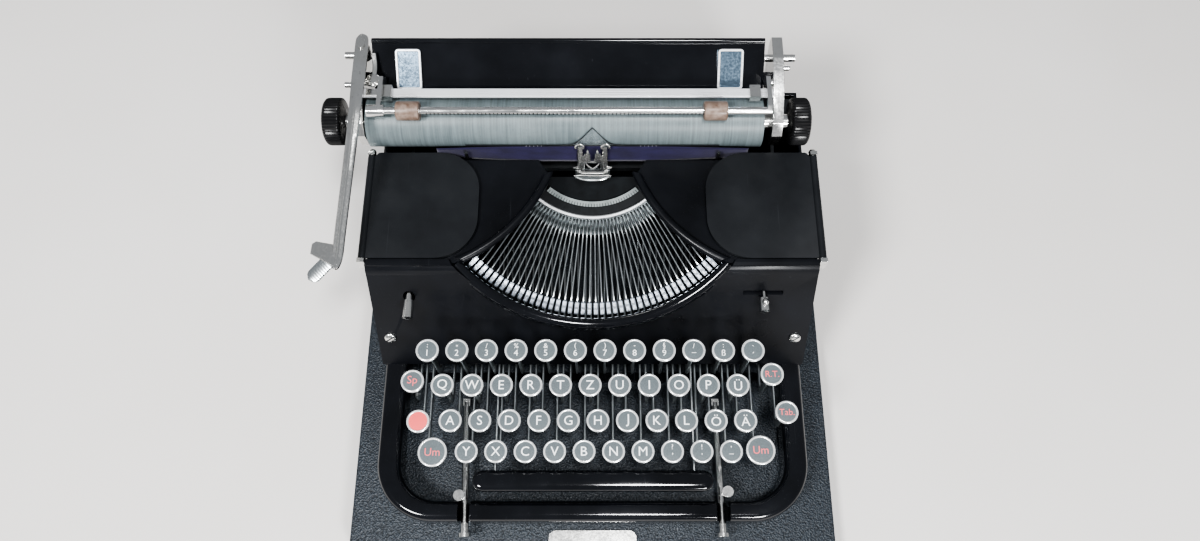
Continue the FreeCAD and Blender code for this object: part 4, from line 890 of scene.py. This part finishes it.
def typebar_shapes(angles, sizes):
    """Typebars: a flat bar carried on a curve and a slug with two raised types, spun to each angle."""
    e1 = np.array([0, -math.cos(BAR_RISE), math.sin(BAR_RISE)])
    e2 = np.array([0, math.sin(BAR_RISE), math.cos(BAR_RISE)])
    pivot = np.array([0, -PIVOT_RADIUS, 0])

    def place(points):
        points = np.asarray(points, float)
        return pivot + points[..., :1] * e1 + points[..., 1:2] * e2 + points[..., 2:3] * np.array([1.0, 0, 0])

    line = smooth_path([
        (-1.5, 0.2), (4, 0.5), (8, 0.6), (13, -0.2), (30, -0.2), (50, -0.1), (57, -0.8), (60.5, -2.4),
    ], 2)
    deep = np.interp(line[:, 0], [-1.5, 3, 8, 14, 50, 60.5], [2.3, 2.4, 2.2, 1.5, 1.3, 1.9])
    flat = place(np.concatenate([line, np.zeros((len(line), 1))], -1))
    bars = []
    outline = rounded(1.0, 1.0, 0.22, 1)
    shape = carried(flat, outline, e2, np.stack([np.full(len(line), sizes.bar_thick / MM), deep], -1))
    v = shape["v"].reshape(-1, len(outline), 3)
    bars.append(grid(spun(v, angles), (False, True), 0))

    turn = math.radians(60.0)
    n = np.array([math.cos(turn), math.sin(turn)])
    t = np.array([math.sin(turn), -math.cos(turn)])
    centre = np.array([BAR_LENGTH, 0.0])

    def solid(along, half_long, half_wide, depth0, depth1, taper, slot):
        rows = []
        for d, k in (
            (depth0, 0.0), (depth0, 1.0), (depth0 + 0.35 * np.sign(depth1 - depth0), 1.0),
            (depth1 - 0.35 * np.sign(depth1 - depth0), taper), (depth1, taper - 0.08), (depth1, 0.0),
        ):
            ring = rounded(2 * half_wide, 2 * half_long, 0.3, 1) * k
            ab = centre + t * (along + ring[:, 1:2]) - n * d
            rows.append(np.concatenate([ab, ring[:, :1]], -1))
        return grid(spun(place(np.stack(rows)), angles), (False, True), slot)

    bars.append(solid(0.0, sizes.slug_long / MM / 2, sizes.slug_wide / MM / 2, 5.0, 0.4, 1.0, 1))
    bars.append(solid(2.1, 1.35, 1.1, 0.5, 0.0, 0.86, 2))
    bars.append(solid(-2.1, 1.35, 1.1, 0.5, 0.0, 0.86, 2))
    return [into_basket(b) for b in bars]


def make_typebars(sizes):
    """The resting typebars and the H bar."""
    angles = np.radians((np.arange(BAR_COUNT) - (BAR_COUNT - 1) / 2) * BAR_ANGLE)
    others = np.delete(angles, H_BAR)
    finishes = ["bar_steel", "slug_steel", "type_face"]
    make_piece("typebar_fan", typebar_shapes(others, sizes), finishes, "typebars", ["typebars"])
    alone = typebar_shapes(angles[H_BAR:H_BAR + 1], sizes)
    make_piece("typebar_h_arm", alone, finishes, "typebar_h", ["typebar_h"])


def make_platen_ends(sizes):
    """Fluted knobs with a dished face, and the bail rollers with eased ends."""
    rim = sizes.knob_radius / MM
    profile = [
        (0, 0), (0, 5.4), (0.5, 6.2), (1.2, 9.5), (1.6, rim - 1.9), (2.4, rim - 0.3), (3.6, rim), (11.0, rim),
        (12.4, rim - 0.3), (13.6, rim - 1.7), (14.3, 11.6), (14.4, 9.0), (13.6, 6.6), (13.4, 0),
    ]
    knobs = []
    for way, face in KNOB_FACES.items():
        inner = (face - way * KNOB_DEEP, AXIS[1], AXIS[2])
        knobs.append(turned(profile, inner, (way, 0, 0), 180, flute=(sizes.knob_ribs, 0.018)))
    make_piece("platen_knob_pair", knobs, ["ebonite"], "platen_knobs", ["platen_knobs"], crease=50.0)
    reach = PLATEN_RADIUS + ROLLER_RADIUS + ROLLER_GAP
    z = AXIS[2] + math.sqrt(reach ** 2 - (AXIS[1] - BAIL_Y) ** 2)
    wide, r = ROLLER_WIDE, ROLLER_RADIUS
    outline = [(0, 2.56), (0, r - 0.7), (0.4, r - 0.2), (1.2, r), (wide - 1.2, r), (wide - 0.4, r - 0.2),
               (wide, r - 0.7), (wide, 2.56), (0, 2.56)]
    for side, x in ROLLERS.items():
        node = "bail_roller_" + side
        roller = turned(outline, (x, BAIL_Y, z), (1, 0, 0), 40)
        make_piece(node + "_rubber", [roller], ["roller_rubber"], node, [node])


def plate(outline, low, high, ease=0.3, slot=0, middle=None):
    """Flat plate: a star-shaped outline stacked at its two faces and drawn in by the ease at both rims."""
    outline = np.asarray(outline, float)
    middle = outline.mean(0) if middle is None else np.asarray(middle, float)
    away = outline - middle
    inner = outline - ease * unit(away)
    rows = [
        (0 * away + middle, low), (inner, low), (outline, low + ease),
        (outline, high - ease), (inner, high), (0 * away + middle, high),
    ]
    points = np.stack([np.concatenate([xy, np.full((len(xy), 1), z)], -1) for xy, z in rows])
    return grid(points, (False, True), slot)


def make_return_lever():
    """Lever: a ridged outline carried along a smooth path, with a web, a ribbed thumb piece and a screw."""
    # X, Y, Z and half width at each station, from the pivot's end to the thumb's
    stations = [
        (-150.5, 155.6, 153, 0.4), (-150.5, 155.0, 153, 2.2), (-150.4, 153.6, 153, 3.5),
        (-150.3, 151, 153, 4.1),
        (-150.2, 146, 153, 4.3), (-150.1, 132, 153, 4.3), (-150.1, 118, 153, 4.2), (-150.2, 103, 152, 3.9),
        (-151, 92, 149.5, 3.7), (-152.8, 71.6, 144, 3.5), (-155, 43, 137.5, 3.4), (-156.5, 22, 133.2, 3.4),
        (-157.2, 8, 131, 3.3), (-158.2, 1.5, 130.2, 2.6), (-158.8, -0.6, 130, 1.0),
    ]
    line = smooth_path(stations, 5)
    profile = [
        (-1, -1.3), (1, -1.3), (1, 0.3), (0.84, 0.75), (0.3, 0.85),
        (0.08, 1.45), (-0.08, 1.45), (-0.3, 0.85), (-0.84, 0.75), (-1, 0.3),
    ]
    size = np.stack([np.maximum(line[:, 3], 0.3), np.full(len(line), 1.0)], -1)
    shapes = [carried(line[:, :3], profile, (0, 0, 1), size)]
    web = [
        (-174.2, 9.2), (-173.9, 15.8), (-171.5, 17.6), (-166, 16.6), (-160.5, 15.6),
        (-156, 14.6), (-154.2, 9.5), (-154.9, 4.5), (-158.2, 0.4), (-165.5, 4.4),
    ]
    shapes.append(plate(web, 129.8, 131.6, 0.5))
    across = np.linspace(0, 1, 29)
    start, end = np.array([-164.0, 5.0, 127.5]), np.array([-174.8, -5.6, 124.0])
    line = start + across[:, None] * (end - start)
    ribs = 1 + 0.07 * np.sign(np.sin(across * 58.0))
    wide = 4.6 * np.sqrt(np.clip(1 - np.clip((across - 0.72) / 0.28, 0, 1) ** 2, 0.02, 1))
    size = np.stack([wide, 1.5 * ribs], -1)
    shapes.append(carried(line, rounded(2.0, 2.0, 0.5, 1), (0, 0, 1), size, slot=1))
    make_piece("return_lever_arm", shapes, ["nickel", "bar_steel"], "return_lever", ["return_lever"])
    head = [(-0.5, 0), (-0.5, 2.4), (0.3, 2.4), (0.9, 2.0), (1.2, 1.0), (1.25, 0)]
    screw = turned(head, (-150.2, 146, 154.4), sides=24)
    make_piece("return_lever_screw", [screw], ["nickel"], "carriage_end_left")


def leaned(x, s, depth):
    """Points of the leaning plane in front of the ribbon: x across, s up the slope, depth out of it."""
    x, s, depth = np.broadcast_arrays(x, s, depth)
    across = x[..., None] * np.array([1.0, 0, 0])
    return np.array(RIBBON_FOOT) + across + s[..., None] * LEAN_UP + depth[..., None] * LEAN_OUT


def strip(points, wide, depth=4.0, thick=0.8, slot=0):
    """Narrow leaning plate: a flat outline carried along a line of (x, s), its width read at each point."""
    points = np.asarray(points, float)
    wide = np.broadcast_to(np.asarray(wide, float), len(points))
    size = np.stack([wide, np.full(len(points), thick)], -1)
    return carried(leaned(points[:, 0], points[:, 1], depth), rounded(1, 1, 0.18, 1), LEAN_OUT, size, slot)


def make_type_guide():
    """Vibrator with curled ears, and type guide: strips and circle arcs set in the ribbon's leaning plane."""
    turn = np.linspace(math.radians(-20), math.radians(205), 13)
    for_vibrator, for_guide = [], []
    for side in (-1, 1):
        ear = np.stack([side * (8.6 + 2.6 * np.cos(turn[::-1])), 14.2 + 2.6 * np.sin(turn[::-1])], -1)
        for_vibrator.append(strip(ear, 1.5, 2.4))
        column = [(side * 8.3, 15.0), (side * 8.2, 6.0), (side * 8.1, 0.0), (side * 8.5, -6.4)]
        for_vibrator.append(strip(column, [3.0, 3.6, 3.8, 4.4], 2.4))
        for_vibrator.append(strip([(side * 9.5, -3.2), (side * 13.0, -3.4)], [3.0, 0.6], 2.5, 0.7))
        prong = [(side * 3.2, 13.4), (side * 3.2, 12.6), (side * 3.2, 9.4)]
        for_guide.append(strip(prong, [0.8, 1.5, 1.6], 4.0))
        finger = [(side * 3.5, 10.2), (side * 3.6, 7.0), (side * 3.5, 2.6)]
        for_guide.append(strip(finger, [3.8, 4.0, 6.0], 4.0))
        flank = [(side * 5.9, 8.6), (side * 6.0, 3.0), (side * 6.6, -6.0)]
        for_guide.append(strip(flank, [1.8, 1.8, 2.4], 4.0))
        for_guide.append(strip([(side * 4.6, 1.6), (side * 2.3, -1.4), (0, -3.6)], [0.9, 1.5, 2.0], 3.9))
    for_guide.append(strip([(-6.4, 3.2), (0, 2.9), (6.4, 3.2)], [2.0, 1.6, 2.0], 3.95))
    for_guide.append(strip([(-7.8, -6.4), (7.8, -6.4)], 2.2, 4.05))
    for_vibrator.append(strip([(-10.6, -7.6), (10.6, -7.6)], 2.0, 2.4))
    x = np.linspace(-TROUGH_HALF, TROUGH_HALF, 25)
    edge = np.full_like(x, TROUGH_EDGE)
    for_guide.append(strip(np.stack([x, edge], -1), 1.1, 4.9, 1.0))
    trough = -13.2 + 4.4 * np.abs(x / TROUGH_HALF) ** 2.6
    for_guide.append(strip(np.stack([x, trough], -1), 0.9, 4.9, 0.8))
    middle = np.stack([x, (trough + edge) / 2], -1)
    for_guide.append(strip(middle, np.maximum(edge - trough, 0.3), 4.4, 0.7, slot=1))
    foot = [(-12, 87.6), (-12, 80.6), (12, 80.6), (12, 87.6)]
    for_guide.append(plate(foot, 93.4, 95.2, 0.4, 1))
    make_piece("vibrator_plate", for_vibrator, ["nickel"], "ribbon_vibrator", ["ribbon_vibrator"])
    make_piece("type_guide_plate", for_guide, ["nickel", "lever_steel"], "type_guide", ["type_guide"])


def make_guide_borders():
    """Raised bright border of each paper guide: a round-cornered outline carried round the guide's face."""
    foot, head = np.array(TABLE_FOOT), np.array(TABLE_HEAD)
    along = unit(head - foot)
    normal = np.array([-along[1], along[0]])
    long = float(np.linalg.norm(head - foot))
    for side, x in GUIDES.items():
        ring = rounded(15.2, long - 5.4 - 0.6, 1.4, 3)
        yz = foot + ring[:, 1:2] * along + (long - 5.4) / 2 * along + 3.7 * normal
        path = np.concatenate([x + 8.25 + ring[:, :1], yz], -1)
        border = carried(path, rounded(1.6, 1.0, 0.4, 1), np.array([0, *normal]), closed=True)
        make_piece("paper_guide_border_" + side, [border], ["white_bar"], "paper_guide_" + side)


def make_carriage_fittings():
    """Fittings of the carriage ends: turned screw, washer and stubs, a link on a curve, and a lug plate."""
    head = [(0.0, 0), (0.0, 3.9), (1.2, 3.9), (1.9, 3.4), (2.2, 2.0), (2.25, 0)]
    washer = [(0.0, 0), (0.0, 4.9), (0.9, 4.9), (0.9, 0)]
    shapes = [turned(head, (-142.1, 125.8, 145.2), sides=28), turned(washer, (-142.6, 125.6, 144.4), sides=28)]
    link = [(-142.2, 129.5, 145.4), (-142.0, 136.0, 147.0), (-142.8, 143.0, 150.0)]
    shapes.append(carried(smooth_path(link, 4), rounded(3.0, 1.2, 0.4, 1), (0, -0.5, 0.85)))
    lug = [(-147.2, 115.0), (-137.9, 115.6), (-138.2, 121.0), (-141.0, 120.0), (-147.2, 120.2)]
    shapes.append(plate(lug, 141.6, 143.9, 0.4))
    make_piece("left_end_fittings", shapes, ["nickel"], "carriage_end_left")
    for side, (x, y, z) in (("left", (-163.3, 126.8, 138.0)), ("right", (131.0, 140.0, 138.0))):
        way = 1 if side == "left" else -1
        stub = [(0, 0), (0, 1.4), (0.6, 1.9), (9.0, 1.9), (9.0, 0)]
        shape = turned(stub, (x, y, z), (way, 0, 0), 24)
        make_piece(side + "_end_stub", [shape], ["nickel"], "carriage_end_" + side)


def make_card_scale():
    """Card holder: circle arcs round the platen make a dark strip, white strokes and a clear, edged peak."""
    def on_platen(x, degrees, gap=0.5):
        x, t = np.broadcast_arrays(x, np.radians(degrees))
        reach = PLATEN_RADIUS + gap
        return np.stack([x, AXIS[1] - reach * np.cos(t), AXIS[2] + reach * np.sin(t)], -1)

    x = np.linspace(-84, 84, 85)
    rows = np.linspace(-24, -4, 6)
    under, over = 0.45, 0.95
    sheet = np.stack([on_platen(x, a, under) for a in rows] + [on_platen(x, a, over) for a in rows[::-1]], 1)
    shapes = [grid(sheet, (False, True), 0)]
    slope = smooth_path([(0.0, 46.0), (4.4, 31.0), (8.8, 15.0), (11.6, 6.0), (15.0, 0.0), (21.0, -3.5)], 5)
    for side in (-1, 1):
        edge = on_platen(side * slope[:, 0], slope[:, 1], 1.0)
        shapes.append(carried(edge, rounded(0.5, 0.5, 0.12, 1), (0, -0.6, 0.8), slot=0))
    peak = on_platen(slope[:, :1] * np.linspace(-1, 1, 9)[None], slope[:, 1:] * np.ones(9), 0.7)
    ticks = []
    for place in np.concatenate([np.arange(-44, -33, 2.54), np.arange(32, 44, 2.54)]):
        line = on_platen(place, np.array([-13.0, -9.0, -5.5]), 1.0)
        ticks.append(carried(line, rounded(0.35, 0.25, 0.05, 1), (0, -0.9, 0.1), slot=2))
    finishes = ["satin_black", "clear_sheet", "legend_white"]
    make_piece("card_holder", shapes + ticks, finishes, "card_scale", ["card_scale"])
    clear = make_piece("card_peak", [grid(peak)], ["clear_sheet"], "card_scale", shell=True)
    solid = clear.modifiers.new("Thickness", "SOLIDIFY")
    solid.thickness, solid.offset = 0.25 * MM, 0.0


def make_screws():
    """Cheese-head screws of the cowl: a domed lathe head, its slot a dark bar of blackened steel carried across
    the top, painted shade in place of the cut groove.
    """
    way = unit([0, -1, COWL_SLOPE])
    shapes = []
    head = [(-1, 0), (-1, 4.0), (0.9, 4.0), (1.5, 3.6), (1.9, 2.6), (2.05, 1.2), (2.1, 0)]
    for x in (-SCREW_X, SCREW_X):
        seat = np.array([x, COWL_Y + COWL_SLOPE * (SCREW_Z - COWL_Z), SCREW_Z])
        shapes.append(turned(head, seat, way, 28))
        a, s, u = square_to(way)
        path = seat + 2.0 * a + np.linspace(-3.3, 3.3, 9)[:, None] * unit(s * 0.8 + u * 0.6)
        # the dark slot bar is painted shade standing in for the groove
        shapes.append(carried(path, rounded(0.9, 0.5, 0.1, 1), a, slot=1))
    make_piece("cowl_screw_heads", shapes, ["nickel", "frame_steel"], "cowl_screws", ["cowl_screws"])


def make_ribbon():
    """Ribbon cloth: a strip whose foot and lean pass through four stations, with a slow ripple on its face."""
    stations = np.array([(-104, 90.85, 104.5), (-42, 86.15, 108.3), (42, 86.15, 108.3), (104, 90.85, 104.5)])
    rise = np.array([(0, 0, 1), LEAN_UP, LEAN_UP, (0, 0, 1)])
    reach = np.concatenate([[0], np.cumsum(np.linalg.norm(np.diff(stations, axis=0), axis=1))])
    s = np.linspace(0, reach[-1], 90)
    w = np.linspace(0.0, RIBBON_WIDE, 7)
    foot = np.stack([np.interp(s, reach, stations[:, k]) for k in range(3)], -1)
    lift = unit(np.stack([np.interp(s, reach, rise[:, k]) for k in range(3)], -1))
    p = foot[:, None] + w[None, :, None] * lift[:, None]
    p[..., 1] += 0.06 * np.sin(s / 9.0)[:, None] * np.cos(w / 4.0)
    uv = np.stack(np.broadcast_arrays(s[:, None] * MM, w[None] * MM), -1)
    cloth = grid(p, uv=uv)
    piece = make_piece("ribbon_cloth_strip", [cloth], ["ribbon_cloth"], "ribbon", ["ribbon"], shell=True)
    thick = piece.modifiers.new("Thickness", "SOLIDIFY")
    thick.thickness, thick.offset = 0.12 * MM, 0.0


def make_stage(settings):
    """Floor, sky, lamps and camera."""
    bpy.ops.mesh.primitive_plane_add(size=12.0, location=(0, 0, -0.0005))
    floor = bpy.context.object
    floor.name = "floor"
    floor.data.materials.append(FINISHES["pale_floor"]())
    world = bpy.data.worlds.new("Studio")
    bpy.context.scene.world = world
    world.use_nodes = True
    back = next(n for n in world.node_tree.nodes if n.type == "BACKGROUND")
    back.inputs["Color"].default_value = (0.93, 0.96, 1.0, 1.0)
    back.inputs["Strength"].default_value = settings.sky
    for name, place, target, size, power in (
        ("key_light", (-0.8, -0.75, 1.5), (0, 0, 0.05), 0.45, settings.key_power),
        ("front_light", (0.55, -1.45, 0.95), (0, -0.05, 0.05), 0.40, settings.key_power * 0.8),
        ("top_light", (0.15, -0.35, 1.7), (0, 0.05, 0.05), 0.30, settings.key_power * 0.6),
    ):
        lamp = bpy.data.lights.new(name, "AREA")
        lamp.shape, lamp.size, lamp.energy = "DISK", size, power
        holder = bpy.data.objects.new(name, lamp)
        way = np.asarray(target, float) - np.asarray(place, float)
        holder.location = place
        holder.rotation_mode = "QUATERNION"
        holder.rotation_quaternion = Vector(way).to_track_quat("-Z", "Y")
        bpy.context.scene.collection.objects.link(holder)
    bpy.context.scene.view_settings.look = "AgX - High Contrast"
    camera = bpy.data.objects.new("camera", bpy.data.cameras.new("camera"))
    camera.data.lens, camera.data.sensor_width = 27.0, 36.0
    camera.location = (0.005, -0.205, 0.6442)
    camera.rotation_euler = (math.atan2(0.368, 0.930), 0, 0)
    bpy.context.scene.collection.objects.link(camera)
    bpy.context.scene.camera = camera


def dress_nodes():
    """Give every kept node its finish, and ease the edges of the sheet-metal ones."""
    for node, name in KEPT.items():
        mesh = NODES[node].data
        mesh.materials.clear()
        mesh.materials.append(FINISHES[name]())
    for node, (name, width) in EASED.items():
        eased_copy(node, name, width)


# ---- add-on ------------------------------------------------------------------------------------------
def colour_property(name, description, default):
    return FloatVectorProperty(
        name=name, description=description, default=default, subtype="COLOR", min=0.0, max=1.0,
    )


def length_property(name, description, default):
    return FloatProperty(name=name, description=description, default=default, min=0.0001, unit="LENGTH")


class ColourSettings(bpy.types.PropertyGroup):
    """Colours of the main finishes."""

    enamel: colour_property("Enamel", "Black enamel of the body", (0.004, 0.0045, 0.006))
    nickel: colour_property("Nickel", "Nickel plate of levers and fittings", (0.80, 0.80, 0.79))
    # board is the colour of the lit grain tops; the sunk cell edges get a fifth of it as painted shade
    board: colour_property("Board", "Tops of the grain on the base board", (0.036, 0.047, 0.060))
    platen: colour_property("Platen", "Rubber of the platen", (0.145, 0.180, 0.190))
    key_disc: colour_property("Key disc", "Card under the glass of the keys", (0.150, 0.178, 0.190))
    letters: colour_property("Letters", "Letters of the typing keys", (0.88, 0.90, 0.90))
    red_letters: colour_property("Red letters", "Letters of the function keys", (0.80, 0.16, 0.17))
    ribbon: colour_property("Ribbon", "Fresh ink of the ribbon", (0.017, 0.013, 0.052))


class KeySettings(bpy.types.PropertyGroup):
    """Sizes of the key caps."""

    cap_radius: length_property("Cap radius", "Radius of a typing key's cap", 0.0075)
    shift_radius: length_property("Shift radius", "Radius of a shift key's cap", 0.0095)
    ring_wide: length_property("Ring width", "Width of the bright ring", 0.0015)
    letter_tall: length_property("Letter size", "Size of a single letter", 0.0086)


class TypebarSettings(bpy.types.PropertyGroup):
    """Sizes of the typebars."""

    bar_thick: length_property("Bar thickness", "Thickness of a typebar", 0.00115)
    slug_long: length_property("Slug length", "Length of a type slug", 0.0088)
    slug_wide: length_property("Slug width", "Width of a type slug", 0.0031)


class CarriageSettings(bpy.types.PropertyGroup):
    """Sizes of the platen knobs."""

    knob_radius: length_property("Knob radius", "Radius of a platen knob", 0.0155)
    knob_ribs: IntProperty(name="Knob ribs", description="Ribs round a platen knob", default=45, min=3)


class StageSettings(bpy.types.PropertyGroup):
    """Light of the studio."""

    sky: FloatProperty(
        name="Sky", description="Brightness of the even light all round", default=0.32, min=0.0,
    )
    key_power: FloatProperty(
        name="Lamp power", description="Power of the main lamp", default=26.0, unit="POWER",
    )


class TYPEWRITER_OT_stage(bpy.types.Operator):
    """Add the floor, the lamps and the camera"""

    bl_idname = "typewriter.stage"
    bl_label = "Stage"

    def execute(self, context):
        make_stage(context.scene.typewriter_stage)
        return {"FINISHED"}


class TYPEWRITER_OT_body(bpy.types.Operator):
    """Dress the packed nodes with their finishes"""

    bl_idname = "typewriter.body"
    bl_label = "Body finishes"

    def execute(self, context):
        dress_nodes()
        make_screws()
        return {"FINISHED"}


class TYPEWRITER_OT_keys(bpy.types.Operator):
    """Add the key caps, legends, levers and the space bar"""

    bl_idname = "typewriter.keys"
    bl_label = "Keys"

    def execute(self, context):
        make_keys(context.scene.typewriter_keys)
        make_spacebar()
        return {"FINISHED"}


class TYPEWRITER_OT_typebars(bpy.types.Operator):
    """Add the fan of typebars"""

    bl_idname = "typewriter.typebars"
    bl_label = "Typebars"

    def execute(self, context):
        make_typebars(context.scene.typewriter_typebars)
        return {"FINISHED"}


class TYPEWRITER_OT_carriage(bpy.types.Operator):
    """Add the knobs, bail rollers and ribbon"""

    bl_idname = "typewriter.carriage"
    bl_label = "Carriage"

    def execute(self, context):
        make_platen_ends(context.scene.typewriter_carriage)
        make_return_lever()
        make_type_guide()
        make_card_scale()
        make_guide_borders()
        make_carriage_fittings()
        make_ribbon()
        return {"FINISHED"}


OPERATORS = [
    TYPEWRITER_OT_stage, TYPEWRITER_OT_body, TYPEWRITER_OT_keys, TYPEWRITER_OT_typebars, TYPEWRITER_OT_carriage,
]


class TYPEWRITER_PT_panel(bpy.types.Panel):
    """Buttons for every group of pieces"""

    bl_idname = "TYPEWRITER_PT_panel"
    bl_label = "Typewriter"
    bl_space_type = "VIEW_3D"
    bl_region_type = "UI"
    bl_category = "Typewriter"

    def draw(self, context):
        for operator in OPERATORS:
            self.layout.operator(operator.bl_idname)
        for name, kind in SETTINGS.items():
            group = getattr(context.scene, name)
            self.layout.label(text=kind.__doc__)
            for key in kind.__annotations__:
                self.layout.prop(group, key)


SETTINGS = {
    "typewriter_stage": StageSettings, "typewriter_colours": ColourSettings, "typewriter_keys": KeySettings,
    "typewriter_typebars": TypebarSettings, "typewriter_carriage": CarriageSettings,
}
CLASSES = [*SETTINGS.values(), *OPERATORS, TYPEWRITER_PT_panel]


def register():
    for item in CLASSES:
        bpy.utils.register_class(item)
    for name, kind in SETTINGS.items():
        setattr(bpy.types.Scene, name, PointerProperty(type=kind))


def unregister():
    for name in SETTINGS:
        delattr(bpy.types.Scene, name)
    for item in reversed(CLASSES):
        bpy.utils.unregister_class(item)


def main():
    """Register the add-on and build everything in order."""
    register()
    for operator in OPERATORS:
        group, name = operator.bl_idname.split(".")
        if getattr(getattr(bpy.ops, group), name)() != {"FINISHED"}:
            raise RuntimeError(operator.bl_label + " did not finish")


if __name__ == "__main__":
    main()
